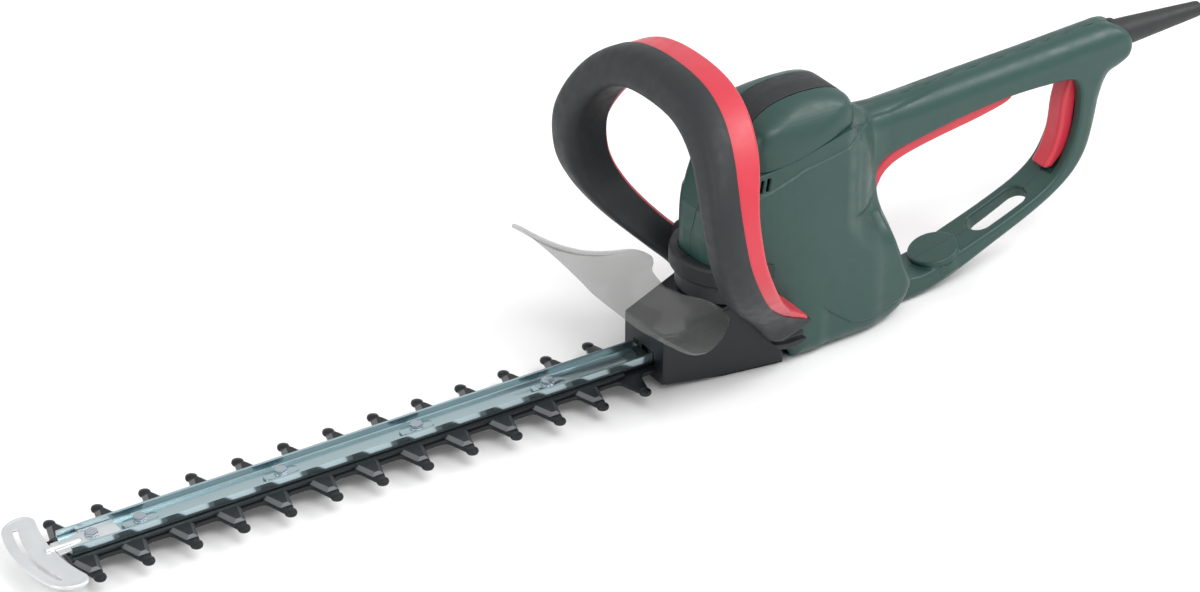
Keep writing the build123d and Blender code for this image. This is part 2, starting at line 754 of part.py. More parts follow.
def front_switch_bar():
    """Red switch bail in the rear of the loop, a channel section squeezed forward."""
    bail = loop_volume(LOOP_HALF_WIDTH - 2.4, 10 - LOOP_SPLIT, LOOP_DEPTH)
    bail &= block((-80, 130), (-130, 130), (47, 260))
    hollow = loop_volume(LOOP_HALF_WIDTH - 5.0, 12 - LOOP_SPLIT, LOOP_DEPTH - 2.6)
    bail -= hollow & block((-80, 130), (-130, 130), (50, 260))
    bail -= body_solid(-SWITCH_GAP)
    for travel in range(int(BAIL_TRAVEL) + 1):
        bail -= Pos(-travel, 0, 0) * gearbox_solid(-SWITCH_GAP)
    return bail


def bail_springs():
    """Two coil springs behind the bail, in the handle's channel."""
    springs = []
    for side in (1, -1):
        y = side * 95.5
        coil = rod_x(3.2, 64.3, 68.8, y, 142) - rod_x(2.0, 64.3, 68.8, y, 142)
        springs.append(coil)
    return Compound(springs)


# ---------------------------------------------------------------- hand guard


def hand_guard():
    """Clear flared guard ahead of the front handle."""
    wing = Part()
    for side in (1, -1):
        faces = []
        for y, rear, front in GUARD_SECTIONS:
            corners = [rear, front, (front[0], front[1] - GUARD_THICK), (rear[0], rear[1] - GUARD_THICK)]
            faces.append(Plane.XZ.offset(-side * y) * polygon(corners))
        wing += loft(faces, ruled=True)
    wing -= loop_volume(LOOP_HALF_WIDTH + 0.1, LOOP_DEPTH + 0.1, LOOP_DEPTH)
    return wing - gearbox_solid(-0.1)


# ---------------------------------------------------------------- rear switches


def trigger_face():
    """Side outline of the long trigger strip, with the eye at its rear end."""
    back = [(-234, 150), (-210, 143), (-171, 137), (-142, 131), (-126, 124), (-113.5, 110), (-112, 96)]
    return polygon(TRIGGER_EDGE + [(-243, 142), (-241, 150)] + back)


def rear_trigger():
    """Red trigger strip under the upper bar of the rear handle."""
    strip = prism_xz(trigger_face(), -TRIGGER_HALF, TRIGGER_HALF)
    return strip - rod_y(2.0 + FIT_GAP, -20, 20, *TRIGGER_PIVOT)


def trigger_room():
    """Space in the casing that the trigger sweeps."""
    below = [(-119, 91), (-120, 102), (-128, 111), (-142, 118), (-171, 124), (-210, 130), (-246, 137)]
    above = [(-246, 153), (-232, 155), (-170, 146), (-140, 141), (-118, 134), (-104, 118), (-102, 91)]
    return prism_xz(polygon(below + above), -TRIGGER_HALF - 0.6, TRIGGER_HALF + 0.6)


def pivot_pin(spot, half=GRIP_HALF - 1.2):
    """Steel pin across the rear handle."""
    return rod_y(2.0, -half, half, *spot)


def pin_bosses(shell):
    """Eyes in the casing for the two switch pins."""
    for spot in (TRIGGER_PIVOT, PADDLE_PIVOT):
        shell -= pivot_pin(spot)
    return shell


def grip_paddle():
    """Red paddle on the rear bar, squeezed by the palm side of the fingers."""
    back = [(-289, 68), (-299, 80), (-303, 97), (-305, 118), (-308, 138), (-309, 147), (-300, 147), (-299, 139)]
    face = polygon(PADDLE_EDGE + back)
    return prism_xz(face, -PADDLE_HALF, PADDLE_HALF) - rod_y(2.0 + FIT_GAP, -20, 20, *PADDLE_PIVOT)


def paddle_room():
    """Space in the casing that the paddle sweeps."""
    front = [(-283, 139), (-279, 118), (-278, 97), (-272, 80), (-268, 65)]
    rear = [(-288, 62.5), (-296.5, 67.5), (-302, 76), (-309, 92), (-314, 118), (-316, 149), (-295, 150)]
    return prism_xz(polygon(front + rear + [(-294, 139)]), WALL - GRIP_HALF, GRIP_HALF - WALL)


def trigger_spring():
    """Coil spring between the trigger and the casing roof."""
    low, high = 136.0, 162.0
    return rod_z(4.0, low, high, -160) - rod_z(3.0, low, high, -160)


def switch_body(x, z, y=(-9, 9)):
    """Plain moulded body of an electrical piece."""
    return block(x, y, z)


def cable_sleeve():
    """Tapered rubber bend protector with its flange held in the casing."""
    outline = [
        (-335, CABLE_R), (-335, 8), (-337, 8), (-337.2, 13), (-341.8, 13), (-342, 10.8), (-352, 10.8),
        (-368, 10.2), (-395, 7.6), (SLEEVE_END_X, 6.0), (SLEEVE_END_X, CABLE_R),
    ]
    face = polygon(outline)
    sleeve = revolve(face, Axis.X, 360)
    return Pos(0, 0, CABLE_Z) * sleeve


def cable_clamp():
    """Bar that clamps the cable inside the handle, with its two screws."""
    bar = block((-331, -323), (-13, 13), (CABLE_Z + 4.5, CABLE_Z + 9))
    for side in (1, -1):
        bar += rod_z(1.8, CABLE_Z - 4, CABLE_Z + 10, -327, side * 9.5)
    return bar


def casing_screws():
    """Screws that pull the casing halves together, entered from the right."""
    screws = []
    for x, z, half in SCREW_SPOTS:
        head = rod_y(4.0, 2.4 - half, 5 - half, x, z)
        shank = rod_y(2.05, 4.9 - half, half - 6, x, z)
        screws.append(head + shank)
    return Compound(screws)


def build_all():
    """Build and write every piece."""
    save(tooth_comb(), "tooth_comb")
    save(cutter_blade(), "cutter_blade")
    save(guide_channel(), "guide_channel")
    save(blade_bushes(), "blade_bushes")
    save(screw_plates(), "screw_plates")
    screws = [hex_screw(x, CHANNEL_FLOOR + 1.5, COMB_Z) for x in SCREW_XS]
    save(Compound(screws), "blade_screws")
    save(hex_screw(TIP_BOLT_X, 21.7, COMB_Z), "tip_bolt")
    save(tip_guard(), "tip_guard")
    save(crank_gear(), "crank_gear")
    save(rod_z(SHAFT_R, GEAR_Z, 53.4), "gear_shaft")
    save(connecting_rod(), "connecting_rod")
    save(rod_bush(), "rod_bush")
    save(ball_bearing(14.0, SHAFT_R + FIT_GAP, 37, 44.8), "gear_bearing_lower")
    save(ball_bearing(14.0, SHAFT_R + FIT_GAP, 45.2, 53), "gear_bearing_upper")
    save(ball_bearing(11.0, ARMATURE_R + FIT_GAP, 39, 46, MOTOR_X), "motor_bearing_lower")
    save(ball_bearing(10.0, ARMATURE_R + FIT_GAP, 175, 182, MOTOR_X), "motor_bearing_upper")
    save(bearing_bridge(), "bearing_bridge")
    save(motor_pinion(), "motor_pinion")
    save(armature_shaft(), "armature_shaft")
    save(armature_core(), "armature_core")
    save(armature_windings(), "armature_windings")
    save(commutator(), "commutator")
    save(cooling_fan(), "cooling_fan")
    save(stator_core(), "stator_core")
    save(field_windings(), "field_windings")
    save(brush_carrier(), "brush_carrier")
    save(brush_holders(), "brush_holders")
    save(carbon_brushes(), "carbon_brushes")
    save(motor_top_bracket(), "motor_top_bracket")
    save(gearbox_cover(), "gearbox_cover")
    save(gearbox_base(), "gearbox_base")
    save(comb_screws(), "comb_screws")
    save(grease_seal(), "grease_seal")
    shell = pin_bosses(casing_shell())
    save(casing_half(shell, 1), "casing_left")
    save(casing_half(shell, -1), "casing_right")
    save(casing_screws(), "casing_screws")
    save(motor_hood(), "motor_hood")
    save(hood_stripe(), "hood_stripe")
    save(front_collar(), "front_collar")
    save(front_handle(), "front_handle")
    save(front_switch_bar(), "front_switch_bar")
    save(bail_springs(), "bail_springs")
    save(hand_guard(), "hand_guard")
    save(rear_trigger(), "rear_trigger")
    save(grip_paddle(), "grip_paddle")
    save(pivot_pin(TRIGGER_PIVOT), "trigger_pin")
    save(pivot_pin(PADDLE_PIVOT), "paddle_pin")
    save(trigger_spring(), "trigger_spring")
    save(switch_body((-192, -168), (148, 158.5)), "main_switch")
    save(switch_body((-312.8, -307.4), (105, 118), (-6, 6)), "paddle_switch")
    save(switch_body((-256, -230), (153, 163)), "interference_filter")
    save(cable_sleeve(), "cable_sleeve")
    save(cable_clamp(), "cable_clamp")


build_all()
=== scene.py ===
from math import cos, pi, radians, sin, tau

import bmesh
import bpy
import numpy as np
from mathutils import Matrix, Vector


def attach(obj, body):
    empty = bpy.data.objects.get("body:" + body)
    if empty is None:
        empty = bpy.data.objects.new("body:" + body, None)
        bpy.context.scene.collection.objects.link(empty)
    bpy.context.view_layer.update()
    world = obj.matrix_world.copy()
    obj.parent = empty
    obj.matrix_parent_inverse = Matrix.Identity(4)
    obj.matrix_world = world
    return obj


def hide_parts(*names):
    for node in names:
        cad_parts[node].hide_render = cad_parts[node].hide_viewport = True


# Mains hedge trimmer. Shapes are drawn in millimetres and scaled to metres when a piece is made.
# +X points to the blade tip, +Y to the user's left, +Z up.

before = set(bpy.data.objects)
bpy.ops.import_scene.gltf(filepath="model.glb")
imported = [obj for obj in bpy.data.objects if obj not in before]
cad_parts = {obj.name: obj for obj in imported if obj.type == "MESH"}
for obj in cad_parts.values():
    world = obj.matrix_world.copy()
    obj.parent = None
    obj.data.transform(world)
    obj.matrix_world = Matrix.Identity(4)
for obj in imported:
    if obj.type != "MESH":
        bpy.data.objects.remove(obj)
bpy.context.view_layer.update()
MM = 0.001

# ---- cutting unit ----
PITCH = 35.0
TIP_TOOTH_X = 510.0
COMB_XS = [TIP_TOOTH_X - PITCH * i for i in range(13)]
CUTTER_XS = COMB_XS[:12]
BALL_Y = 36.3
BALL_R = 4.4
SCREW_XS = [147.0, 252.0, 357.0, 462.0]
TIP_BOLT_X = 497.0
COMB_Z = (12.4, 15.4)
CUTTER_Z = (15.5, 17.9)
CUTTER_ROOT = (9.2, 15.5)  # half width and y of a cutter tooth at its root
CUTTER_TIP = (4.3, 30.6)

# ---- casing: outlines as (x, z) ----
WALL = 2.6
NOSE_X = -3.0
NOSE_R = 35.0
GRIP_HALF = 17.5
CABLE_Z = 158.0
BODY_SIDE = [
    (-34, 0.5), (-60, 0.3), (-104, 0.3), (-126, 3), (-141, 12), (-145, 26), (-140, 47), (-133, 68),
    (-124, 85), (-117, 103), (-111, 128), (-108, 150), (-106, 163.5),
]
BODY_FRONT = [(8, 151.3), (16, 137), (25, 121), (29, 104), (29, 84), (28, 62), (-10, 62), (-16, 30)]
GRIP_SIDE = [
    (-84, 30), (-84, 163), (-150, 164), (-205, 167), (-262, 169.5), (-316, 172.5), (-332, 172), (-344, 166),
    (-349, 156), (-347, 146), (-339, 139), (-331, 133), (-326, 120), (-321, 100), (-313, 80), (-301, 64),
    (-284, 50.5), (-260, 38), (-227, 24), (-190, 9), (-160, 2), (-130, 1),
]
GRIP_HOLE = [
    (-144, 42), (-138, 56), (-131, 70), (-125, 83), (-120, 95), (-117, 109), (-119, 121), (-132, 128),
    (-158, 133), (-193, 139), (-234, 143), (-270, 143), (-292, 141), (-300, 134), (-302, 118), (-300, 98),
    (-294, 80), (-285, 66), (-268, 54), (-236, 41), (-200, 29), (-173, 20), (-158, 19), (-149, 23),
]
# The flank stands back above the crease and below the relief
CREASE = [
    (-215, 167.6), (-190, 165.4), (-159, 161.6), (-130, 158.6), (-112, 159.5), (-99, 162.4), (-90, 163.5),
    (-77, 158.5), (-38, 152), (0, 136), (30, 124),
]
RELIEF = [(-150, 40), (-140, 29), (-130, 22), (-110, 17), (-92, 16.5), (-82, 19), (-66, 31), (-50, 44)]
SLOT = (-246.0, 33.0)
SLOT_TILT = radians(-22)
KNOB = (-187.0, 20.5)
KNOB_TILT = radians(-14)
VENT_COUNT = 5
VENT_AT = (8.0, 138.0)
VENT_STEP = (-4.5, 1.1)
# Joint between hood and casing, then the crest of the hood above it
PARTING = [(8, 151.3), (-70, 170.8), (-80, 172), (-88, 170.5), (-98, 165.5), (-106, 163.5)]
HOOD_CREST = [
    (8, 150), (4, 163), (-3, 177), (-14, 189), (-30, 198), (-48, 202), (-66, 200), (-81, 193), (-90, 184),
    (-95, 175), (-98.5, 165),
]
# Half width of the shoulder where the body runs back into the top bar, over x
SHOULDER = [
    (-170, 17.5), (-140, 17.5), (-125, 17.9), (-112, 20.5), (-104, 27), (-96, 34), (-86, 40), (-72, 60),
]
HOOD_CENTRE_X = -44.0
# Stripe on the hood and the bed it lies in: rear x, front x, half width
STRIPE = (-88, 3, 13.1)
STRIPE_BED = (-89, 4, 14.0)
# Screws in the casing: (x, z, reach to each side). The head lies inside the reach on the right, the end on
# the left
SCREW_SPOTS = [
    (-112, 22, 32), (-98, 150, 28), (-86, 100, 36), (-200, 156, 17.5), (-264, 156, 17.5), (-312, 152, 17.5),
    (-152, 11, 17.5),
]
SCREW_HEAD_IN = 5
SCREW_END_IN = 7

# ---- front loop handle: one leg from the front as (y, z), the lean from the side as (x, z) ----
LOOP_LEG = [
    (46.5, 25), (47, 32), (50, 52), (60, 69), (78, 89), (92, 112), (96, 139), (90, 174), (70, 206), (40, 225),
]
LOOP_TOP = (0, 230)
LOOP_LEAN = [
    (-31, 18), (-29, 24), (-23, 32), (-7, 52), (10, 69), (29, 89), (45, 112), (56, 139), (59, 174), (53, 206),
    (46, 230), (42, 246),
]
LOOP_HALF = 13.9
# End of the handle's outer wall behind the loop's middle, as (z, along x)
OUTER_LIP = [
    (46, -19.4), (52, -19.2), (58, -14), (64, -9), (72, -5.5), (95, -1.6), (130, -0.6), (165, 1), (190, 2.2),
    (240, 2.5),
]

# ---- hand guard: |y|, then the (x, z) of its rear and front edges ----
GUARD = [
    (0, 51, 69, 92, 64), (20, 47.5, 70.5, 91, 63), (32, 39, 70, 90, 62.5), (44, 33, 67, 90, 64.5),
    (60, 38, 65.5, 92, 69), (75, 59, 62.0, 100, 80), (86, 83, 68.5, 110, 91), (92, 110, 89, 117, 95),
]
GUARD_HALF_THICK = 1.5

# ---- rear switches as (x, z) ----
TRIGGER = [
    (-120, 92), (-122.5, 103), (-129, 113), (-143, 120), (-171, 126), (-210, 132), (-236, 138), (-241, 144),
    (-239, 149), (-233, 149.5), (-210, 143), (-171, 137), (-142, 131), (-127, 124), (-115, 110), (-114, 96),
]
TRIGGER_PIVOT = (-236.0, 146.0)
PADDLE = [
    (-296, 134), (-292, 118), (-290, 97), (-285, 80), (-279, 70), (-284, 67.5), (-289, 70), (-299, 81),
    (-303, 97), (-305, 118), (-308, 138), (-307, 146), (-301, 146), (-299, 139),
]
PADDLE_PIVOT = (-303.0, 142.0)
PIN_HOLE_R = 2.1

# ---- camera ----
CAMERA_AT = (1430.6, 2017.7, 1484.1)
CAMERA_AIM = (104.0, 0.0, 77.3)
CAMERA_ROLL = radians(0.36)
CAMERA_LENS = 122.03


# ---------------------------------------------------------------- shape kit

def spline(points, per=6, closed=False):
    """Smooth line through the points."""
    p = np.asarray(points, float)
    if closed:
        p = np.vstack([p[-1], p, p[0], p[1]])
    else:
        p = np.vstack([2 * p[0] - p[1], p, 2 * p[-1] - p[-2]])
    spans = []
    t = np.linspace(0, 1, per, endpoint=False)[:, None]
    for a, b, c, d in zip(p, p[1:], p[2:], p[3:]):
        spans.append(b + 0.5 * t * (c - a + t * (2 * a - 5 * b + 4 * c - d + t * (3 * (b - c) + d - a))))
    if not closed:
        spans.append(p[-2:-1])
    return np.vstack(spans)


def outline(u, v, points):
    """Signed distance from (u, v) to a closed outline, negative inside."""
    points = np.asarray(points, float)
    shape = np.broadcast(u, v).shape
    near = np.full(shape, 1e12)
    inside = np.zeros(shape, bool)
    for (ax, ay), (bx, by) in zip(points, np.roll(points, -1, axis=0)):
        ex, ey = bx - ax, by - ay
        t = np.clip(((u - ax) * ex + (v - ay) * ey) / (ex * ex + ey * ey + 1e-12), 0, 1)
        near = np.minimum(near, (u - ax - t * ex) ** 2 + (v - ay - t * ey) ** 2)
        if ey:
            inside ^= ((ay > v) != (by > v)) & (u < ax + (v - ay) * ex / ey)
    return np.where(inside, -1.0, 1.0) * np.sqrt(near)


def both(a, b, r):
    """Intersection of two volumes with its edge rounded."""
    return np.minimum(np.maximum(a, b), -r) + np.hypot(np.maximum(a + r, 0), np.maximum(b + r, 0))


def join(a, b, r):
    """Union of two volumes with a fillet."""
    return np.maximum(np.minimum(a, b), r) - np.hypot(np.maximum(r - a, 0), np.maximum(r - b, 0))


def cut(a, b, r):
    """First volume less the second, with the edge rounded."""
    return both(a, -b, r)


def ramp(t):
    """Smooth step from 0 at t = 0 to 1 at t = 1."""
    t = np.clip(t, 0, 1)
    return t * t * (3 - 2 * t)


def height(x, points):
    """Height over x of a line through the points."""
    points = sorted(points)
    return np.interp(x, [p[0] for p in points], [p[1] for p in points])


def box_field(x, y, z, low, high):
    """Distance to a plain block."""
    d = -1e9
    for value, lo, hi in zip((x, y, z), low, high):
        d = np.maximum(d, np.maximum(lo - value, value - hi))
    return d


def gradient(field, p, h=0.05):
    """Value of a field at points, its gradient and the gradient's length."""
    value = field(p[:, 0], p[:, 1], p[:, 2])
    g = np.empty_like(p)
    for axis in range(3):
        q = p.copy()
        q[:, axis] += h
        g[:, axis] = (field(q[:, 0], q[:, 1], q[:, 2]) - value) / h
    size = np.linalg.norm(g, axis=1)
    return value, g, np.maximum(size, 1e-6)


def on_surface(field, p, limit):
    """Moves points onto the zero level of a field, and gives the outward direction there."""
    value, g, size = gradient(field, p)
    step = -value / size ** 2
    step = np.clip(step * size, -limit, limit) / size
    return p + g * step[:, None], g / size[:, None]


RELAX_ROUNDS = 2


def surface(field, low, high, step):
    """Mesh of the zero level of field(x, y, z): points, quads and normals."""
    low = np.asarray(low, float) - 1.5 * step
    counts = np.ceil((np.asarray(high, float) + 1.5 * step - low) / step).astype(int) + 1
    axes = [low[a] + step * np.arange(counts[a]) for a in range(3)]
    x, y, z = np.meshgrid(*axes, indexing="ij", sparse=True)
    values = np.broadcast_to(field(x, y, z), tuple(counts)).astype(np.float32)
    solid = values < 0
    corners = [(i, j, k) for i in (0, 1) for j in (0, 1) for k in (0, 1)]
    n = counts - 1

    def shifted(grid, c):
        return grid[c[0]:c[0] + n[0], c[1]:c[1] + n[1], c[2]:c[2] + n[2]]

    some = np.zeros(tuple(n), bool)
    every = np.ones(tuple(n), bool)
    for c in corners:
        some |= shifted(solid, c)
        every &= shifted(solid, c)
    cells = np.argwhere(some & ~every)
    number = np.full(tuple(n), -1, np.int32)
    number[cells[:, 0], cells[:, 1], cells[:, 2]] = np.arange(len(cells))
    total = np.zeros((len(cells), 3))
    hits = np.zeros(len(cells))
    for a in corners:
        for axis in range(3):
            if a[axis]:
                continue
            b = list(a)
            b[axis] = 1
            fa = values[cells[:, 0] + a[0], cells[:, 1] + a[1], cells[:, 2] + a[2]]
            fb = values[cells[:, 0] + b[0], cells[:, 1] + b[1], cells[:, 2] + b[2]]
            crossed = (fa < 0) != (fb < 0)
            t = np.where(crossed, fa / np.where(crossed, fa - fb, 1), 0)
            spot = np.tile(np.array(a, float), (len(cells), 1))
            spot[:, axis] = t
            total += spot * crossed[:, None]
            hits += crossed
    points = low + step * (cells + total / hits[:, None])
    quads = []
    for axis in range(3):
        u, v = (axis + 1) % 3, (axis + 2) % 3
        first = solid.take(range(0, counts[axis] - 1), axis)
        second = solid.take(range(1, counts[axis]), axis)
        edges = np.argwhere(first != second)
        edges = edges[(edges[:, u] > 0) & (edges[:, v] > 0) & (edges[:, u] < n[u]) & (edges[:, v] < n[v])]
        around = []
        for du, dv in ((-1, -1), (0, -1), (0, 0), (-1, 0)):
            cell = edges.copy()
            cell[:, u] += du
            cell[:, v] += dv
            around.append(number[cell[:, 0], cell[:, 1], cell[:, 2]])
        quad = np.stack(around, axis=1)
        flip = ~first[edges[:, 0], edges[:, 1], edges[:, 2]]
        quad[flip] = quad[flip][:, ::-1]
        quads.append(quad)
    quads = np.vstack(quads)
    quads = quads[(quads >= 0).all(axis=1)]
    points, normals = on_surface(field, points, step)
    for _ in range(RELAX_ROUNDS):
        total = np.zeros_like(points)
        weight = np.zeros(len(points))
        for i in range(4):
            a, b = quads[:, i], quads[:, (i + 1) % 4]
            np.add.at(total, a, points[b])
            np.add.at(weight, a, 1)
            np.add.at(total, b, points[a])
            np.add.at(weight, b, 1)
        drift = total / np.maximum(weight, 1)[:, None] - points
        drift -= normals * (drift * normals).sum(axis=1)[:, None]
        points, normals = on_surface(field, points + 0.5 * drift, 0.5 * step)
    return points, quads, normals


def mesh_object(name, points, faces, normals=None, angle=None):
    """Blender object from points in millimetres."""
    mesh = bpy.data.meshes.new(name)
    mesh.from_pydata((np.asarray(points, float) * MM).tolist(), [], [list(map(int, f)) for f in faces])
    mesh.update()
    if normals is not None:
        mesh.shade_smooth()
        mesh.normals_split_custom_set_from_vertices(np.asarray(normals).tolist())
    elif angle is not None:
        mesh.shade_smooth()
        mesh.set_sharp_from_angle(angle=radians(angle))
    obj = bpy.data.objects.new(name, mesh)
    bpy.context.scene.collection.objects.link(obj)
    return obj


def bmesh_object(name, mesh):
    """Blender object from a bmesh, which is freed."""
    data = bpy.data.meshes.new(name)
    mesh.to_mesh(data)
    mesh.free()
    obj = bpy.data.objects.new(name, data)
    bpy.context.scene.collection.objects.link(obj)
    return obj


def place(obj, finish, body, nodes):
    """Gives a piece its finish and its body, and hides the CAD nodes it stands for."""
    if finish is not None:
        obj.data.materials.clear()
        obj.data.materials.append(finish)
    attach(obj, body)
    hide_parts(*nodes)


def two_sided(name, field, low, high, step, seam=0.0):
    """Piece made from its left half and the mirror image; faces up to the seam's y are dropped."""
    points, quads, normals = surface(field, low, high, step)
    quads = quads[(points[quads][:, :, 1] > seam).any(axis=1)]
    flip = np.array([1, -1, 1])
    points_both = np.vstack([points, points * flip])
    quads_both = np.vstack([quads, quads[:, ::-1] + len(points)])
    return mesh_object(name, points_both, quads_both, np.vstack([normals, normals * flip]))


def sweep(sections, closed=True, caps=True):
    """Skin over a row of equal rings of points."""
    sections = np.asarray(sections, float)
    rows, count = sections.shape[:2]
    faces = []
    last = count if closed else count - 1
    for i in range(rows - 1):
        for j in range(last):
            k = (j + 1) % count
            faces.append((i * count + j, i * count + k, (i + 1) * count + k, (i + 1) * count + j))
    if caps:
        faces.append(tuple(range(count))[::-1])
        faces.append(tuple((rows - 1) * count + j for j in range(count)))
    return sections.reshape(-1, 3), faces


def outward(obj):
    """Turns every face of a closed mesh to the outside."""
    mesh = bmesh.new()
    mesh.from_mesh(obj.data)
    bmesh.ops.recalc_face_normals(mesh, faces=mesh.faces)
    mesh.to_mesh(obj.data)
    mesh.free()
    return obj


def plate(name, points, low, high, bevel):
    """Flat plate of an outline in x-y with softened edges."""
    mesh = bmesh.new()
    verts = [mesh.verts.new((x * MM, y * MM, low * MM)) for x, y in points]
    edges = [mesh.edges.new(pair) for pair in zip(verts, verts[1:] + verts[:1])]
    bmesh.ops.triangle_fill(mesh, use_beauty=True, use_dissolve=False, edges=edges)
    bottom = list(mesh.faces)
    made = bmesh.ops.extrude_face_region(mesh, geom=bottom)
    top = [v for v in made["geom"] if isinstance(v, bmesh.types.BMVert)]
    bmesh.ops.translate(mesh, verts=top, vec=(0, 0, (high - low) * MM))
    bmesh.ops.recalc_face_normals(mesh, faces=mesh.faces)
    rim = [e for e in mesh.edges if len(e.link_faces) == 2 and e.calc_face_angle(0) > radians(50)
           and abs(e.verts[0].co.z - e.verts[1].co.z) < 1e-6]
    bmesh.ops.bevel(mesh, geom=rim, offset=bevel * MM, segments=2, affect="EDGES", profile=0.5)
    obj = bmesh_object(name, mesh)
    obj.data.shade_smooth()
    obj.data.set_sharp_from_angle(angle=radians(35))
    return obj


def lathe(profile, axis, centre, turns):
    """Rings of points, turned from (along, radius) pairs about the x or z axis."""
    rings = []
    for along, radius in profile:
        ring = []
        for i in range(turns):
            a = tau * i / turns
            if axis == "x":
                ring.append((centre[0] + along, centre[1] + radius * cos(a), centre[2] + radius * sin(a)))
            else:
                ring.append((centre[0] + radius * cos(a), centre[1] + radius * sin(a), centre[2] + along))
        rings.append(ring)
    return rings


def merged(name, objects):
    """Joins several objects into one."""
    bpy.ops.object.select_all(action="DESELECT")
    for obj in objects:
        obj.select_set(True)
    bpy.context.view_layer.objects.active = objects[0]
    bpy.ops.object.join()
    objects[0].name = name
    objects[0].data.name = name
    return objects[0]


# ---------------------------------------------------------------- materials

EVEN = (1, 1, 1)
TONE_SCALE = 38
GLOSS_SCALE = 120
# Stretch of the noise across the scratches, in the gloss and in the relief
GLOSS_SCRATCH = (1, 14, 14)
GRAIN_SCRATCH = (1, 30, 30)


def material(name, colour, rough, metal=0.0, grain=900.0, relief=40, mottle=0.06, rough_swing=0.08,
             scratch=False, shine=0.5):
    """Procedural finish: fine grain (relief in micrometres), drifting tone and uneven gloss."""
    mat = bpy.data.materials.new(name)
    mat.use_nodes = True
    tree = mat.node_tree
    nodes, links = tree.nodes, tree.links
    shader = nodes["Principled BSDF"]
    place_at = nodes.new("ShaderNodeTexCoord")

    def noise(scale, detail, stretch=EVEN):
        mapping = nodes.new("ShaderNodeMapping")
        mapping.inputs["Scale"].default_value = stretch
        links.new(place_at.outputs["Object"], mapping.inputs["Vector"])
        texture = nodes.new("ShaderNodeTexNoise")
        texture.inputs["Scale"].default_value = scale
        texture.inputs["Detail"].default_value = detail
        links.new(mapping.outputs["Vector"], texture.inputs["Vector"])
        return texture.outputs["Fac"]

    def spread(value, low, high):
        node = nodes.new("ShaderNodeMapRange")
        node.inputs["From Min"].default_value = 0.3
        node.inputs["From Max"].default_value = 0.7
        node.inputs["To Min"].default_value = low
        node.inputs["To Max"].default_value = high
        links.new(value, node.inputs["Value"])
        return node.outputs["Result"]

    tone = nodes.new("ShaderNodeMix")
    tone.data_type = "RGBA"
    tone.inputs["A"].default_value = [c * (1 - mottle) for c in colour] + [1]
    tone.inputs["B"].default_value = [min(1, c * (1 + mottle)) for c in colour] + [1]
    links.new(spread(noise(TONE_SCALE, 5), 0, 1), tone.inputs["Factor"])
    links.new(tone.outputs["Result"], shader.inputs["Base Color"])
    gloss = noise(GLOSS_SCALE, 6, GLOSS_SCRATCH if scratch else EVEN)
    links.new(spread(gloss, rough - rough_swing, rough + rough_swing), shader.inputs["Roughness"])
    shader.inputs["Metallic"].default_value = metal
    shader.inputs["Specular IOR Level"].default_value = shine
    bump = nodes.new("ShaderNodeBump")
    bump.inputs["Strength"].default_value = 1.0
    bump.inputs["Distance"].default_value = relief * 1e-6
    links.new(noise(grain, 3, GRAIN_SCRATCH if scratch else EVEN), bump.inputs["Height"])
    links.new(bump.outputs["Normal"], shader.inputs["Normal"])
    return mat


def clear_material(name, colour, alpha):
    """Smoked clear plastic, almost without grain."""
    mat = material(name, colour, 0.10, grain=200, relief=0.2, mottle=0.05, rough_swing=0.03)
    shader = mat.node_tree.nodes["Principled BSDF"]
    shader.inputs["Alpha"].default_value = alpha
    shader.inputs["IOR"].default_value = 1.49
    return mat


GREEN = material("casing_green", (0.015, 0.054, 0.045), 0.40, grain=1500, relief=20, mottle=0.04)
SOFT = material("soft_grip", (0.016, 0.019, 0.021), 0.55, grain=1900, relief=30, mottle=0.04, shine=0.4)
RED = material("switch_red", (0.52, 0.028, 0.048), 0.38, grain=1300, relief=10, mottle=0.03)
BLACK = material("gearbox_black", (0.007, 0.009, 0.011), 0.38, grain=1800, relief=20, mottle=0.04,
                 rough_swing=0.04, shine=0.4)
SMOKE = clear_material("smoked_clear", (0.15, 0.155, 0.15), 0.38)
COMB = material("comb_black", (0.016, 0.018, 0.020), 0.34, 0.55, grain=700, relief=20, rough_swing=0.1)
GROUND = material("ground_steel", (0.15, 0.16, 0.17), 0.38, 0.85, grain=600, relief=4, scratch=True)
ZINC = material("channel_steel", (0.42, 0.53, 0.56), 0.17, 0.97, grain=300, relief=1,
                mottle=0.02, rough_swing=0.03, scratch=True)
SCREW = material("screw_steel", (0.42, 0.47, 0.52), 0.30, 0.95, grain=700, relief=10)
ALLOY = material("tip_alloy", (0.66, 0.68, 0.69), 0.38, 0.75, grain=900, relief=20)
RUBBER = material("sleeve_rubber", (0.016, 0.017, 0.018), 0.55)
GEAR = material("gear_steel", (0.42, 0.42, 0.42), 0.30, 0.95, grain=500, relief=10)
BEARING = material("bearing_steel", (0.62, 0.63, 0.64), 0.20, 1.0, grain=500, relief=6)
BRONZE = material("bronze", (0.56, 0.36, 0.16), 0.38, 0.95, grain=800, relief=20)
CAST = material("cast_alloy", (0.48, 0.49, 0.50), 0.52, 0.8, grain=700, relief=80)
LAMINATION = material("lamination", (0.24, 0.25, 0.27), 0.42, 0.85, grain=900, relief=30)
COPPER = material("copper", (0.62, 0.26, 0.12), 0.34, 0.9, grain=900, relief=100)
MOULDED = material("moulded_black", (0.020, 0.020, 0.022), 0.45, grain=1100, relief=40)
BRASS = material("brass", (0.66, 0.48, 0.18), 0.30, 0.95, grain=700, relief=20)
CARBON = material("carbon", (0.030, 0.030, 0.032), 0.62, grain=1500, relief=60)
FELT = material("felt", (0.30, 0.27, 0.22), 0.90, grain=2500, relief=200)
FILTER = material("filter_grey", (0.26, 0.27, 0.28), 0.50, grain=900, relief=30)
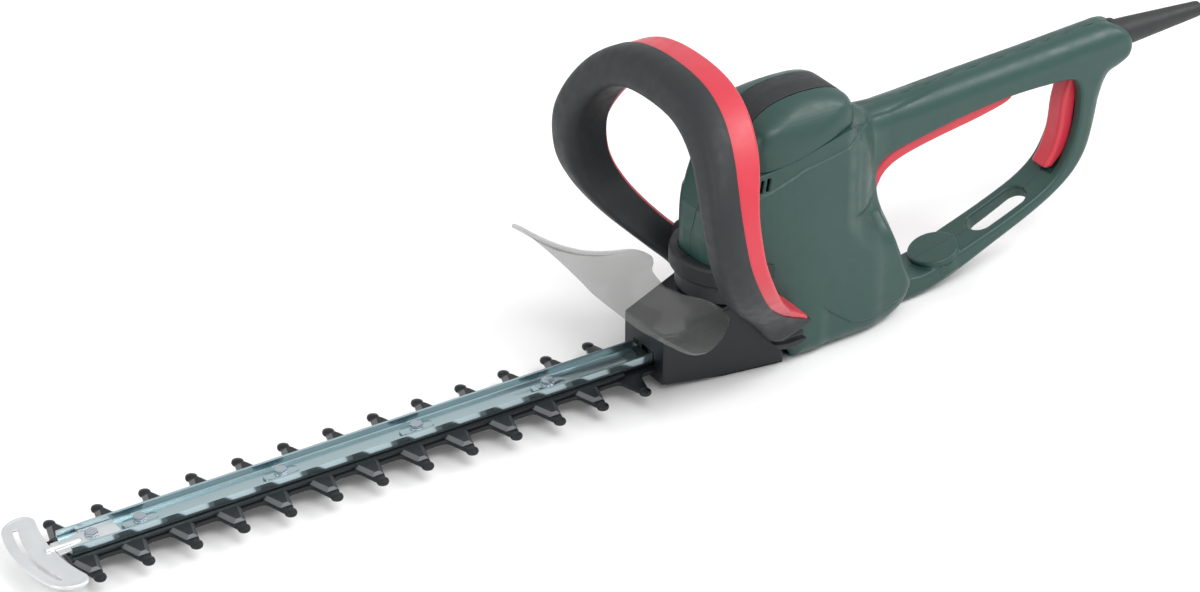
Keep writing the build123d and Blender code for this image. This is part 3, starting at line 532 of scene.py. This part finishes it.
# Finish for each slot of the CAD nodes
FINISH = {finish.name.split(".")[0]: finish for finish in (
    GREEN, SOFT, RED, BLACK, SMOKE, ZINC, SCREW, ALLOY, GEAR, BEARING, BRONZE, CAST, LAMINATION, COPPER,
    MOULDED, BRASS, CARBON, FELT, FILTER, RUBBER,
)}
FINISH["blade_steel"] = COMB


# ---------------------------------------------------------------- gearbox

GEARBOX_SIDE = [(20, 0), (68, 5), (68, 43), (12, 59), (-22, 62), (-22, 30), (-27, 0)]
GEARBOX_PLAN = [(68, 24.4), (-22, 38), (-28, 38.5), (-28, -38.5), (-22, -38), (68, -24.4)]
GEARBOX_WALL = 2.8
GEARBOX_ROOF = 56.0
GEARBOX_FLOOR = 3.0


def gearbox_field(x, y, z):
    """Outer shape of the gearbox."""
    side = outline(x, z, GEARBOX_SIDE)
    plan = outline(x, np.abs(y), GEARBOX_PLAN)
    return both(side + 0 * y, plan, 2.6)


def gearbox_cover():
    """Black gearbox case, open below and behind, with its mouth for the blade."""
    def field(x, y, z):
        outer = gearbox_field(x, y, z)
        shell = np.maximum(outer, -(np.maximum(outer + GEARBOX_WALL, z - GEARBOX_ROOF)))
        below = box_field(x, y, z, (-40, -60, -20), (60, 60, GEARBOX_FLOOR))
        behind = box_field(x, y, z, (-40, -60, -20), (-16, 35.5, 55))
        mouth = box_field(x, y, z, (58, -60, 12.2), (80, 12.4, 25.8))
        shell = np.maximum(np.maximum(shell, -below), -behind)
        return cut(shell, mouth, 0.7)

    return two_sided("gearbox_cover", field, (-28, 0, 0), (69, 39, 63), 0.8, seam=0.4)


# ---------------------------------------------------------------- casing

def body_plan():
    """Plan of the motor body as a closed outline."""
    nose = [(NOSE_X + NOSE_R * cos(a), NOSE_R * sin(a)) for a in np.linspace(0, radians(60), 12)]
    flank = [(-12, 39.5), (-45, 43), (-90, 42.3), (-120, 41.2), (-150, 39.5), (-165, 38)]
    left = np.vstack([nose[:-1], spline([nose[-1]] + flank, 5), [(-165, 0)]])
    return np.vstack([left, (left * (1, -1))[::-1][1:-1]])


PLAN = body_plan()
SHOULDER_LINE = spline(SHOULDER, 6).tolist()
SIDE = np.vstack([spline(BODY_SIDE, 4), PARTING[-2:0:-1], BODY_FRONT])
GRIP = np.vstack([GRIP_SIDE[:2], spline(GRIP_SIDE[2:], 4)])
HOLE = spline(GRIP_HOLE, 4, closed=True)


def inset(x, z):
    """How far the flank stands back: above the crease, below the relief, and towards the top."""
    above = ramp((z - height(x, CREASE)) / 1.6) * (1 - ramp((-180 - x) / 35))
    below = ramp((height(x, RELIEF) - z) / 2.0) * ramp((-52 - x) / 12) * ramp((x + 148) / 10)
    upper = ramp((z - 100) / 75)
    return 1.5 * above + 1.8 * below + 1.6 * upper * ramp((x + 110) / 10)


def body_field(x, y, z):
    """Motor body before it is hollowed."""
    across = np.abs(y) + inset(x, z)
    # The rear edge stands forward away from the middle plane
    bow = (6 + 6 * ramp((z - 25) / 25)) * (np.minimum(np.abs(y), 44) / 40) ** 2
    side = outline(x - bow * ramp((-85 - x) / 25), z, SIDE)
    # The flank draws in to the top bar at the rear, fully so from z 102 up
    shoulder = (across - height(x, SHOULDER_LINE) + 6 * ramp((-84 - x) / 14)) * 0.75
    plan = both(outline(x, across, PLAN), shoulder - 24 * (1 - ramp((z - 60) / 42)), 12.0)
    # Edges are soft low down and crisp along the joint with the hood
    top = height(x, PARTING) - z
    soft = 2.2 + 12 * ramp((46 - z) / 34)
    soft = np.where(top < 12, 0.8 + (soft - 0.8) * ramp(top / 12), soft)
    return both(side, plan, soft)


def grip_field(x, y, z):
    """Rear D handle before it is hollowed."""
    ring = outline(x, z, GRIP)
    # The top bar widens into the body's shoulder
    flare = np.minimum(height(x, SHOULDER_LINE), 40) - GRIP_HALF
    width = np.abs(y) + inset(x, z) - GRIP_HALF - flare * ramp((z - 85) / 20)
    soft = 5.0 + 10 * ramp((z - 60) / 60) * ramp((x + 352) / 30)
    bar = both(ring, width, soft)
    return cut(bar, outline(x, z, HOLE), 3.2)


def knob_field(x, y, z):
    """Oval cord hook, leaning with the lower bar."""
    along = (x - KNOB[0]) * cos(KNOB_TILT) + (z - KNOB[1]) * sin(KNOB_TILT)
    up = -(x - KNOB[0]) * sin(KNOB_TILT) + (z - KNOB[1]) * cos(KNOB_TILT)
    disc = np.hypot(along / 19.5, y / 18.8) * 19.0 - 19.0
    knob = both(disc, np.abs(up) - 7.5, 2.0)
    return cut(knob, both(-(disc + 0.9), np.abs(up - 2.0) - 0.6, 0.1), 0.3)


def trigger_room(x, y, z):
    """Space in the handle that the trigger swings through."""
    px, pz = TRIGGER_PIVOT
    room = 1e9
    for turn in (0, 1, 2, 3):
        c, s = cos(radians(turn)), sin(radians(turn))
        u = px + c * (x - px) + s * (z - pz)
        v = pz - s * (x - px) + c * (z - pz)
        room = np.minimum(room, outline(u, v, TRIGGER) - 1.6)
    return both(room, np.abs(y) - 15.0, 0.8)


def casing_field(x, y, z):
    """Green casing, hollow, with its rooms for the switches, its slot and its vents."""
    body = body_field(x, y, z)
    solid = join(body, grip_field(x, y, z), 4 + 5 * ramp((z - 85) / 20))
    solid = join(solid, knob_field(x, y, z), 1.0)
    along = (x - SLOT[0]) * cos(SLOT_TILT) + (z - SLOT[1]) * sin(SLOT_TILT)
    slot = np.hypot(np.maximum(np.abs(along) - 15.5, 0), y) - 10.0
    solid = cut(solid, np.maximum(slot, z - 75), 2.4)
    shell = np.maximum(solid, -(solid + WALL))
    for i in range(VENT_COUNT):
        vx = VENT_AT[0] + VENT_STEP[0] * i
        vz = VENT_AT[1] + VENT_STEP[1] * i
        slit = outline(x, z, [(vx, vz), (vx + 1.4, vz), (vx, vz + 9), (vx - 1.4, vz + 9)])
        shell = cut(shell, both(slit - 0.4, 26 - np.abs(y), 0.3), 0.7)
    shell = cut(shell, trigger_room(x, y, z), 0.7)
    paddle = both(outline(x, z, PADDLE) - 3.2, np.abs(y) - 9.4, 0.8)
    shell = cut(shell, paddle, 0.7)
    cable = np.hypot(y, z - CABLE_Z) - 11
    shell = cut(shell, np.maximum(cable, x + 332), 0.8)
    # Rooms open to the gearbox, and the open top under the hood
    shell = np.maximum(shell, -box_field(x, y, z, (-60, -60, 3.2), (-18, 34, 59.5)))
    shell = np.maximum(shell, -box_field(x, y, z, (-60, -60, 50), (20, 28, 66)))
    opening = (np.hypot((x - HOOD_CENTRE_X) / 46, y / 34) - 1) * 34
    shell = np.maximum(shell, -np.maximum(opening, 146 - z))
    return np.maximum(shell, 0.15 - gearbox_field(x, y, z))


def casing_halves():
    """Left and right halves of the casing, parted on the middle plane."""
    def field(x, y, z):
        return both(casing_field(x, y, z), 0.04 - y, 0.55)

    step = 1.05
    points, quads, normals = surface(field, (-350, 0, 0), (31, 44, 179), step)
    left = mesh_object("casing_left", points, quads, normals)
    flip = np.array([1, -1, 1])
    right = mesh_object("casing_right", points * flip, quads[:, ::-1], normals * flip)
    return left, right


def casing_screws():
    """Screws that hold the casing halves together, with recessed heads."""
    made = []
    for x, z, reach in SCREW_SPOTS:
        seat = SCREW_HEAD_IN - reach
        end = reach - SCREW_END_IN
        profile = [(seat - 1.4, 0.01), (seat - 1.4, 1.3), (seat - 2.6, 1.6), (seat - 2.6, 3.6),
                   (seat - 2.0, 4.0), (seat, 4.0), (seat, 2.0), (end - 1, 2.0), (end, 1.0), (end, 0.01)]
        rings = lathe(profile, "z", (x, z, 0), 32)
        points, faces = sweep([[(a, c, b) for a, b, c in ring] for ring in rings])
        made.append(outward(mesh_object("screw", points, faces, angle=30)))
    return merged("casing_screws", made)


# ---------------------------------------------------------------- motor hood

HOOD_SIDE = np.vstack([spline(HOOD_CREST, 5), [(-98.5, 130), (8, 130)]])
ARCH = [(40, 120), (40.5, 150), (40, 166), (36, 181), (28, 191.5), (16, 199.3), (0, 202.5)]
HOOD_ARCH = np.vstack([spline(ARCH, 5), (spline(ARCH, 5) * (-1, 1))[::-1][1:]])


def hood_field(x, y, z):
    """Domed hood before it is hollowed."""
    side = outline(x, z, HOOD_SIDE)
    arch = outline(y, z, HOOD_ARCH)
    plan = (np.hypot((x - HOOD_CENTRE_X) / 55.0, y / 44.0) - 1) * 48
    dome = both(side, arch, 9.0)
    return both(dome, plan, 7.0)


def below_parting(x, z):
    """How far a point lies under the joint between hood and casing."""
    return (height(x, PARTING) - z) * 0.97


def stripe_plan(x, y, rear, front, half):
    """Distance in plan to an oblong along the top of the hood."""
    return outline(x, y, [(rear, -half), (front, -half), (front, half), (rear, half)])


def motor_hood():
    """Green hood, with a bed for its dark stripe."""
    def field(x, y, z):
        dome = hood_field(x, y, z)
        bed = both(stripe_plan(x, y, *STRIPE_BED) + 0 * z, -(dome + 1.6), 0.2)
        shell = cut(np.maximum(dome, -(dome + WALL)), bed, 0.5)
        return both(shell, below_parting(x, z) + 0.15, 0.7)

    step = 0.75
    return two_sided("motor_hood", field, (-99, 0, 148), (10, 46, 204), step)


def hood_stripe():
    """Soft dark strip set in the top of the hood, with rounded edges."""
    def field(x, y, z):
        dome = hood_field(x, y, z)
        strip = both(dome - 0.1, stripe_plan(x, y, *STRIPE) + 0 * z, 0.8)
        strip = both(strip, -(dome + 1.4), 0.3)
        return both(strip, below_parting(x, z) + 0.15, 0.7)

    step = 0.7
    return mesh_object("hood_stripe", *surface(field, (-98, -14, 148), (10, 14, 204), step))


# ---------------------------------------------------------------- front loop handle

def loop_line(count):
    """Middle line of the loop, left foot to right foot, and its outward directions, as even (y, z) points."""
    line = spline(LOOP_LEG + [LOOP_TOP] + [(-y, z) for y, z in reversed(LOOP_LEG)], 24)
    gaps = np.linalg.norm(np.diff(line, axis=0), axis=1)
    length = np.concatenate([[0], np.cumsum(gaps)])
    even = np.linspace(0, length[-1], count)
    line = np.stack([np.interp(even, length, line[:, i]) for i in (0, 1)], axis=1)
    way = np.gradient(line, axis=0)
    way /= np.linalg.norm(way, axis=1)[:, None]
    out = np.stack([way[:, 1], -way[:, 0]], axis=1)
    return line, out


def lean_at(z):
    """X of the loop's middle at a height."""
    curve = spline(LOOP_LEAN, 12)
    return np.interp(z, curve[:, 1], curve[:, 0])


def arc(centre, radius, start, end, count=6):
    """Points on an arc, angles in degrees."""
    return [(centre[0] + radius[0] * cos(radians(a)), centre[1] + radius[1] * sin(radians(a)))
            for a in np.linspace(start, end, count)]


def lip_at(z):
    """Where the handle's outer wall ends: it runs back to cover the bail's lower ends."""
    return height(z, OUTER_LIP)


def rear_shift(z):
    """How far the rear of the bail stands forward at mid height."""
    return 5.2 * ramp((205 - z) / 45) * ramp((z - 52) / 25)


def loop_skin(name, profile, low):
    """Sweeps a section, given over z as (out, along x) points, over the loop above a height."""
    line, out = loop_line(320)
    rings = []
    for i in range(len(line)):
        if line[i][1] < low:
            continue
        ring = []
        for a, b in profile(line[i][1]):
            y, z = line[i] + a * out[i]
            ring.append((lean_at(z) + b, y, z))
        rings.append(ring)
    points, faces = sweep(rings)
    return outward(mesh_object(name, points, faces, angle=40))


# Rounded front of the loop's section, as (out, along x)
LOOP_FRONT = arc((4.4, 9.5), (9.5, 10.5), 0, 90) + arc((-4.4, 9.5), (9.5, 10.5), 90, 180)


def front_handle():
    """Soft-grip loop with a channel in its rear, and its two solid feet."""
    def section(z):
        walls = []
        for lip in (min(-12.0, lip_at(z)), lip_at(z)):
            walls.append([(LOOP_HALF, lip + 0.7), (13.6, lip), (13.3, lip), (13.1, lip + 0.6), (13.1, 9.6),
                          (10.6, 11.6), (7.0, 12.6)])
        hand_side = [(-a, b) for a, b in walls[0]]
        return LOOP_FRONT + hand_side + [(0, 13.0)] + walls[1][::-1]

    parts = [loop_skin("front_handle", section, 49)]
    for side in (1, -1):
        parts.append(loop_foot(side))
    return merged("front_handle", parts)


def loop_foot(side):
    """Solid foot of the loop on one flank, rounded at its lower end."""
    line, out = loop_line(1000)
    rear = arc((-10.9, -16.6), (3, 3), 180, 270, 5) + arc((10.9, -16.6), (3, 3), 270, 360, 5)
    section = LOOP_FRONT + rear
    here = [i for i in range(len(line)) if 38.5 < line[i][1] < 52 and line[i][0] * side > 0]
    if side < 0:
        here = here[::-1]
    rings = []
    for k, i in enumerate(here):
        edge = min(1.0, (k + 0.4) / 7)
        shrink = 0.992 - 0.3 * (1 - np.sqrt(max(0.0, 1 - (1 - edge) ** 2)))
        slant = 0.25 * ramp((52 - line[i][1]) / 12)
        ring = []
        for a, b in section:
            y, z = line[i] + shrink * a * out[i]
            z -= slant * b
            ring.append((lean_at(z) + shrink * b, y, z))
        rings.append(ring)
    points, faces = sweep(rings)
    return outward(mesh_object("loop_foot", points, faces, angle=50))


def front_switch_bar():
    """Red bail in the rear of the loop, a channel section."""
    rear = arc((8.6, -15.6), (4.3, 4.3), 0, -90, 6) + arc((-8.6, -15.6), (4.3, 4.3), -90, -180, 6)
    inner = [(-10.4, -15.5), (-8, -17.4), (8, -17.4), (10.4, -15.5)]

    def section(z):
        def moved(points):
            return [(a, b + rear_shift(z)) for a, b in points]

        front = min(4.0, lip_at(z) + 4.0)
        outer = [(12.9, front)] + moved(rear) + [(-12.9, front)]
        return outer + [(-10.6, front)] + moved(inner) + [(10.6, front)]

    return loop_skin("front_switch_bar", section, 51.0)


# ---------------------------------------------------------------- collar

# Arm from the ring down to the loop's foot and the socket round the foot, as (x, z)
ARM = [
    (12, 72), (10, 84), (3, 86), (-3, 84), (-8, 72), (-14, 60), (-21, 50), (-29, 42), (-34, 34), (-34, 26),
    (-30, 22), (-25, 23), (-17, 34), (-8, 54),
]
SOCKET = [
    (-39.5, 39), (-41, 31), (-37, 23), (-29, 19.5), (-15, 21), (-7, 30), (0, 44), (4, 56), (-8, 58),
    (-25, 47),
]
ARM_Y = 42.0


def leg_room(x, y, z, half, deep):
    """Space round the lower left leg of the loop: its half width, and half its depth along x."""
    line, _ = loop_line(60)
    near = np.full(np.broadcast(y, z).shape, 1e9)
    for (ay, az), (by, bz) in zip(line[:16], line[1:17]):
        ey, ez = by - ay, bz - az
        t = np.clip(((y - ay) * ey + (z - az) * ez) / (ey * ey + ez * ez), 0, 1)
        near = np.minimum(near, np.hypot(y - ay - t * ey, z - az - t * ez))
    lean = lean_at(z)
    return np.maximum(near - half, np.maximum(x - lean - deep, lean - deep - x) * 0.75)


def front_collar():
    """Dark ring under the nose, its skirt, and the arms that hold the loop's feet."""
    def field(x, y, z):
        radial = np.hypot(x - NOSE_X, y)
        ring = both(radial - 41.8, np.abs(z - 79.5) - 7.3, 2.6)
        skirt = both(radial - 37.5, np.abs(z - 66) - 8, 1.0)
        band = join(both(ring, -20 - x, 1.0), both(skirt, -18 - x, 1.0), 2.5)
        arm = both(outline(x, z, spline(ARM, 4, closed=True)) + 0 * y, np.abs(y - ARM_Y) - 7.9, 3.2)
        socket = both(outline(x, z, spline(SOCKET, 4, closed=True)) + 0 * y, np.abs(y - ARM_Y) - 8.6, 1.6)
        solid = join(join(band, arm, 5.0), socket, 2.0)
        solid = np.maximum(solid, 0.1 - body_plain(x, y, z))
        solid = np.maximum(solid, 0.1 - gearbox_field(x, y, z))
        foot = leg_room(x, y, z, 14.4, 20.4)
        pocket = both(np.maximum(foot, 43.5 - y), 24.0 - z + 0.25 * np.maximum(x + 20, 0), 3.0)
        return cut(solid, np.minimum(pocket, np.maximum(foot, 44 - z)), 0.8)

    step = 0.9
    return two_sided("front_collar", field, (-62, 0, 12), (40, 51, 88), step)


def body_plain(x, y, z):
    """Motor body without its reliefs, for cutting its neighbours."""
    return both(outline(x, z, SIDE) + 0 * y, outline(x, np.abs(y), PLAN), 2.2)


# ---------------------------------------------------------------- hand guard

def hand_guard():
    """Clear flared sheet ahead of the loop, of even thickness with rounded rims."""
    half = spline(GUARD, 8)
    other = half[::-1][:-1] * (-1, 1, 1, 1, 1)
    rows = np.vstack([other, half])
    across = 14
    middle = []
    for y, rx, rz, fx, fz in rows:
        line = []
        for t in np.linspace(0, 1, across):
            sag = 2.0 * sin(pi * t) * (1 - (abs(y) / 92) ** 2)
            line.append((rx + (fx - rx) * t, y, rz + (fz - rz) * t + sag - GUARD_HALF_THICK))
        middle.append(line)
    middle = np.array(middle)
    along = np.gradient(middle, axis=0)
    side = np.gradient(middle, axis=1)
    normal = np.cross(side, along)
    normal /= np.linalg.norm(normal, axis=2)[:, :, None]
    normal *= np.sign(normal[:, :, 2:3] + 1e-9)
    layers = [middle + GUARD_HALF_THICK * normal, middle - GUARD_HALF_THICK * normal]
    n, m = middle.shape[:2]
    points = np.vstack([layer.reshape(-1, 3) for layer in layers])
    faces = []
    for i in range(n - 1):
        for j in range(m - 1):
            a, b, c, d = i * m + j, i * m + j + 1, (i + 1) * m + j + 1, (i + 1) * m + j
            faces.append((a, b, c, d))
            faces.append((a + n * m, d + n * m, c + n * m, b + n * m))
    rim = [(0, j) for j in range(m)] + [(i, m - 1) for i in range(1, n)]
    rim += [(n - 1, j) for j in range(m - 2, -1, -1)] + [(i, 0) for i in range(n - 2, 0, -1)]
    edge = []
    for i, j in rim:
        away = side[i, j] * ((j == m - 1) - (j == 0)) + along[i, j] * ((i == n - 1) - (i == 0))
        edge.append(middle[i, j] + away / np.linalg.norm(away) * 0.9)
    base = len(points)
    points = np.vstack([points, edge])
    for k, (i, j) in enumerate(rim):
        i2, j2 = rim[(k + 1) % len(rim)]
        a, b = i * m + j, i2 * m + j2
        e, f = base + k, base + (k + 1) % len(rim)
        faces.append((a, e, f, b))
        faces.append((e, a + n * m, b + n * m, f))
    return outward(mesh_object("hand_guard", points, faces, angle=60))


# ---------------------------------------------------------------- rear switches

def rear_switch(name, side, pivot, half, soft, low, high):
    """Red switch part from its side outline, with rounded edges and an eye at its pivot."""
    shape = spline(side, 4, closed=True)

    def field(x, y, z):
        bar = both(outline(x, z, shape) + 0 * y, np.abs(y) - half, soft)
        return np.maximum(bar, PIN_HOLE_R - np.hypot(x - pivot[0], z - pivot[1]))

    step = 0.8
    return mesh_object(name, *surface(field, low, high, step))


def rear_trigger():
    """Long trigger under the top bar."""
    return rear_switch("rear_trigger", TRIGGER, TRIGGER_PIVOT, 14.0, 3.0, (-244, -15, 93), (-111, 15, 151))


def grip_paddle():
    """Paddle on the rear bar."""
    return rear_switch("grip_paddle", PADDLE, PADDLE_PIVOT, 8.4, 3.2, (-310, -15, 66), (-277, 15, 148))


def cable_sleeve():
    """Tapered rubber sleeve with its flange, bored for the cable."""
    profile = [(-335, 4.3), (-335, 8), (-337, 8), (-337.3, 12.8), (-341.6, 12.8), (-342, 10.8), (-346, 10.7)]
    profile += [(-352 - 6.8 * i, 10.5 - 4.5 * i / 10) for i in range(11)]
    profile += [(-422.4, 5.6), (-423, 4.9), (-423, 4.3)]
    turns = 64
    points, faces = sweep(lathe(profile, "x", (0, 0, CABLE_Z), turns), caps=False)
    last = (len(profile) - 1) * turns
    for j in range(turns):
        k = (j + 1) % turns
        faces.append((j, last + j, last + k, k))
    return outward(mesh_object("cable_sleeve", points, faces, angle=35))


# ---------------------------------------------------------------- blade

def ball(x, y):
    """Round, flattened end of a comb tooth."""
    mesh = bmesh.new()
    bmesh.ops.create_uvsphere(mesh, u_segments=28, v_segments=16, radius=BALL_R * MM)
    for vert in mesh.verts:
        vert.co.z *= 0.57
    middle = sum(COMB_Z) / 2
    bmesh.ops.translate(mesh, verts=mesh.verts, vec=(x * MM, y * MM, middle * MM))
    obj = bmesh_object("ball", mesh)
    obj.data.shade_smooth()
    return obj


def comb_tooth(x):
    """One side of a comb tooth, from root to ball, as (x, y)."""
    root = [(x - 12.5, 17), (x - 9.6, 17.6), (x - 7.9, 19.6), (x - 3.9, 33)]
    end = arc((x, BALL_Y), (BALL_R - 0.3, BALL_R - 0.3), 215, -35, 14)
    return root + end + [(2 * x - a, b) for a, b in reversed(root)]


def tooth_comb():
    """Fixed black comb with round tooth ends."""
    left = []
    for x in reversed(COMB_XS):
        left += comb_tooth(x)
    line = [(1, 11), (1, 14), (4, 17)] + left + [(519, 15.5), (519, 0)]
    full = line + [(x, -y) for x, y in reversed(line[:-1])]
    body = plate("tooth_comb", full, *COMB_Z, 0.45)
    balls = [ball(x, side * BALL_Y) for x in COMB_XS for side in (1, -1)]
    return merged("tooth_comb", [body] + balls)


def cutter_blade():
    """Moving blade, its teeth ground on both flanks."""
    mesh = bmesh.new()
    low, high = CUTTER_Z
    (wide_root, root_y), (wide_tip, tip_y) = CUTTER_ROOT, CUTTER_TIP

    def add(points, index):
        face = mesh.faces.new([mesh.verts.new((x * MM, y * MM, z * MM)) for x, y, z in points])
        face.material_index = index

    def tooth(x, side, root, tip, end, z):
        corners = [(x - root, root_y), (x - tip, end), (x + tip, end), (x + root, root_y)]
        return [(u, side * v, z) for u, v in corners]

    for side in (1, -1):
        for x in CUTTER_XS:
            b = tooth(x, side, wide_root, wide_tip, tip_y, low)
            edge = tooth(x, side, wide_root, wide_tip, tip_y, low + 0.35)
            # The flanks are ground back to a smaller top face
            t = tooth(x, side, wide_root - 3.0, wide_tip - 2.6, tip_y - 1.6, high)
            add(t, 0)
            add(b[::-1], 0)
            for i in range(3):
                add([edge[i], edge[i + 1], t[i + 1], t[i]], 1)
                add([b[i], b[i + 1], edge[i + 1], edge[i]], 1)
            add([b[0], edge[0], t[0], t[3], edge[3], b[3]], 0)
    bmesh.ops.recalc_face_normals(mesh, faces=mesh.faces)
    teeth = bmesh_object("cutter_teeth", mesh)
    bar = [(93, -15.5), (519, -15.5), (519, 15.5), (93, 15.5), (91, 10), (43, 10), (43, -10), (91, -10)]
    spine = plate("cutter_blade", bar, low, high, 0.3)
    for obj in (spine, teeth):
        for mat in (COMB, GROUND):
            obj.data.materials.append(mat)
    return merged("cutter_blade", [spine, teeth])


def guide_channel():
    """Bright folded channel over the blade."""
    half = arc((10.4, 19.6), (1.6, 1.6), -90, 0, 5)
    half += [(12.0, 25.1), (11.7, 25.5), (10.7, 25.5), (10.4, 25.1)]
    half += [(10.4, 20.6), (10.0, 20.0), (9.4, 19.8), (0.0, 19.6)]
    ring = half + [(-y, z) for y, z in reversed(half[:-1])]
    xs = [65.0, 65.4] + list(np.linspace(66, 516, 46)) + [516.6, 517.0]
    rings = [[(x, y, z) for y, z in ring] for x in xs]
    points, faces = sweep(rings)
    return outward(mesh_object("guide_channel", points, faces, angle=30))


def oblong(x, length, width, count=10):
    """Outline with round ends, centred at x."""
    r = width / 2
    tip_end = arc((x + length / 2 - r, 0), (r, r), -90, 90, count)
    return tip_end + arc((x - length / 2 + r, 0), (r, r), 90, 270, count)


def hex_screw(x, base, across=9.5):
    """Hexagon screw with a flange, a softened head and a shank down through the comb."""
    foot = COMB_Z[0]

    def turned(name, profile, turns):
        points, faces = sweep(lathe(profile, "z", (x, 0, 0), turns))
        return outward(mesh_object(name, points, faces, angle=30))

    flange = [(base, 0.01), (base, 4.7), (base + 0.5, 4.75), (base + 0.8, 4.3), (base + 0.8, 0.01)]
    washer = turned("washer", flange, 48)
    corner = across / 2 / cos(radians(30)) * 0.86
    hexagon = [(x + corner * cos(a), corner * sin(a)) for a in np.arange(6) * tau / 6 + 0.3]
    head = plate("head", hexagon, base + 0.7, base + 3.2, 0.5)
    shank = turned("shank", [(foot, 0.01), (foot, 2.9), (base, 2.9), (base, 0.01)], 32)
    return merged("screw", [washer, head, shank])


def screw_plates():
    """Oblong plates under the screws."""
    return merged("screw_plates", [plate("plate", oblong(x, 26, 9), 19.8, 21.3, 0.35) for x in SCREW_XS])


def tip_guard():
    """Bright crescent bumper over the tip, with a tongue under the bolt and a slot along its arc."""
    def field(x, y, z):
        crescent = both(np.hypot(x - 443, y) - 107.8, 123 - np.hypot(x - 402, y), 0.5)
        crescent = both(crescent, np.abs(y) - 46, 11.0)
        ring = np.abs(np.hypot(x - 442, y) - 99.5) - 1.8
        slot = both(ring, np.abs(y) - 34, 1.0)
        slab = both(cut(crescent, slot, 0.4) + 0 * z, np.abs(z - 19.2) - 0.9, 0.5)
        bead = both(np.abs(crescent + 1.5) - 1.2, np.abs(z - 19.5) - 1.2, 1.1)
        tongue = both(box_field(x, y, z, (478, -10, 19.9), (503, 10, 21.7)), np.abs(y) - 10, 0.5)
        ramp_top = height(x, [(496, 21.7), (503, 21.7), (512, 20.4), (524, 20.1)])
        web = both(np.abs(y) - 7.5, np.abs(x - 512) - 12, 1.0)
        web = both(web, np.maximum(z - ramp_top, ramp_top - 1.7 - z), 0.4)
        rib = both(np.hypot(y, z - 20.3) - 2.4, np.abs(x - 518) - 12.5, 0.8)
        rib = np.maximum(rib, 18.4 - z)
        solid = join(join(slab, bead, 0.8), join(tongue, web, 0.6), 0.6)
        solid = join(solid, rib, 1.0)
        return np.maximum(solid, 3.1 - np.hypot(x - TIP_BOLT_X, y))

    step = 0.55
    return mesh_object("tip_guard", *surface(field, (477, -47, 17), (552, 47, 24), step))


# ---------------------------------------------------------------- build

def build_pieces():
    """Makes every detailed piece and sets it on its body."""
    left, right = casing_halves()
    place(left, GREEN, "tool", ["casing_left"])
    place(right, GREEN, "tool", ["casing_right"])
    place(casing_screws(), SCREW, "tool", ["casing_screws"])
    place(motor_hood(), GREEN, "tool", ["motor_hood"])
    place(hood_stripe(), SOFT, "tool", ["hood_stripe"])
    place(gearbox_cover(), BLACK, "tool", ["gearbox_cover"])
    place(front_collar(), SOFT, "tool", ["front_collar"])
    place(front_handle(), SOFT, "tool", ["front_handle"])
    place(front_switch_bar(), RED, "front_bail", ["front_switch_bar"])
    place(hand_guard(), SMOKE, "tool", ["hand_guard"])
    place(rear_trigger(), RED, "trigger", ["rear_trigger"])
    place(grip_paddle(), RED, "paddle", ["grip_paddle"])
    place(cable_sleeve(), RUBBER, "tool", ["cable_sleeve"])
    place(tooth_comb(), COMB, "tool", ["tooth_comb"])
    place(cutter_blade(), None, "cutter", ["cutter_blade"])
    place(guide_channel(), ZINC, "tool", ["guide_channel"])
    place(screw_plates(), ZINC, "tool", ["screw_plates"])
    screws = merged("blade_screws", [hex_screw(x, 21.3) for x in SCREW_XS])
    place(screws, SCREW, "tool", ["blade_screws"])
    bolt = hex_screw(TIP_BOLT_X, 21.7)
    bolt.name = "tip_bolt"
    place(bolt, SCREW, "tool", ["tip_bolt"])
    place(tip_guard(), ALLOY, "tool", ["tip_guard"])


def finish_nodes():
    """Gives the CAD nodes that are still shown their procedural finish."""
    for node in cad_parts.values():
        if node.hide_render:
            continue
        wanted = node.data.materials[0].name.split(".")[0] if node.data.materials else "moulded_black"
        finish = FINISH.get(wanted, MOULDED)
        node.data.materials.clear()
        node.data.materials.append(finish)


def light(name, at, size, power, aim=(50, 0, 60)):
    """Soft area light pointed at the tool."""
    data = bpy.data.lights.new(name, "AREA")
    data.shape = "RECTANGLE"
    data.size, data.size_y = size
    data.energy = power
    obj = bpy.data.objects.new(name, data)
    obj.location = Vector(at)
    obj.rotation_euler = (Vector(aim) * MM - obj.location).to_track_quat("-Z", "Y").to_euler()
    bpy.context.scene.collection.objects.link(obj)


def stage():
    """White surroundings, pale floor, soft lights and the camera."""
    scene = bpy.context.scene
    world = bpy.data.worlds.new("studio")
    world.use_nodes = True
    background = world.node_tree.nodes["Background"]
    background.inputs["Color"].default_value = (1, 1, 1, 1)
    background.inputs["Strength"].default_value = 0.88
    scene.world = world
    corners = [(-6000, -6000, -0.2), (6000, -6000, -0.2), (6000, 6000, -0.2), (-6000, 6000, -0.2)]
    floor = mesh_object("floor", corners, [(0, 1, 2, 3)])
    floor.data.materials.append(material("floor_white", (0.90, 0.90, 0.90), 0.8, mottle=0.005))
    light("key", (0.2, 1.6, 2.4), (1.6, 1.1), 34)
    light("rear", (-1.6, 0.8, 1.8), (1.0, 1.0), 20)
    light("tip", (2.2, 0.4, 1.2), (0.8, 0.8), 10)
    scene.view_settings.view_transform = "Standard"
    camera = bpy.data.objects.new("camera", bpy.data.cameras.new("camera"))
    camera.data.sensor_width = 36.0
    camera.data.lens = CAMERA_LENS
    camera.data.clip_end = 50
    camera.location = Vector(CAMERA_AT) * MM
    aim = (Vector(CAMERA_AIM) * MM - camera.location).to_track_quat("-Z", "Y")
    camera.rotation_euler = (aim.to_matrix() @ Matrix.Rotation(CAMERA_ROLL, 3, "Z")).to_euler()
    scene.collection.objects.link(camera)
    scene.camera = camera


build_pieces()
finish_nodes()
stage()
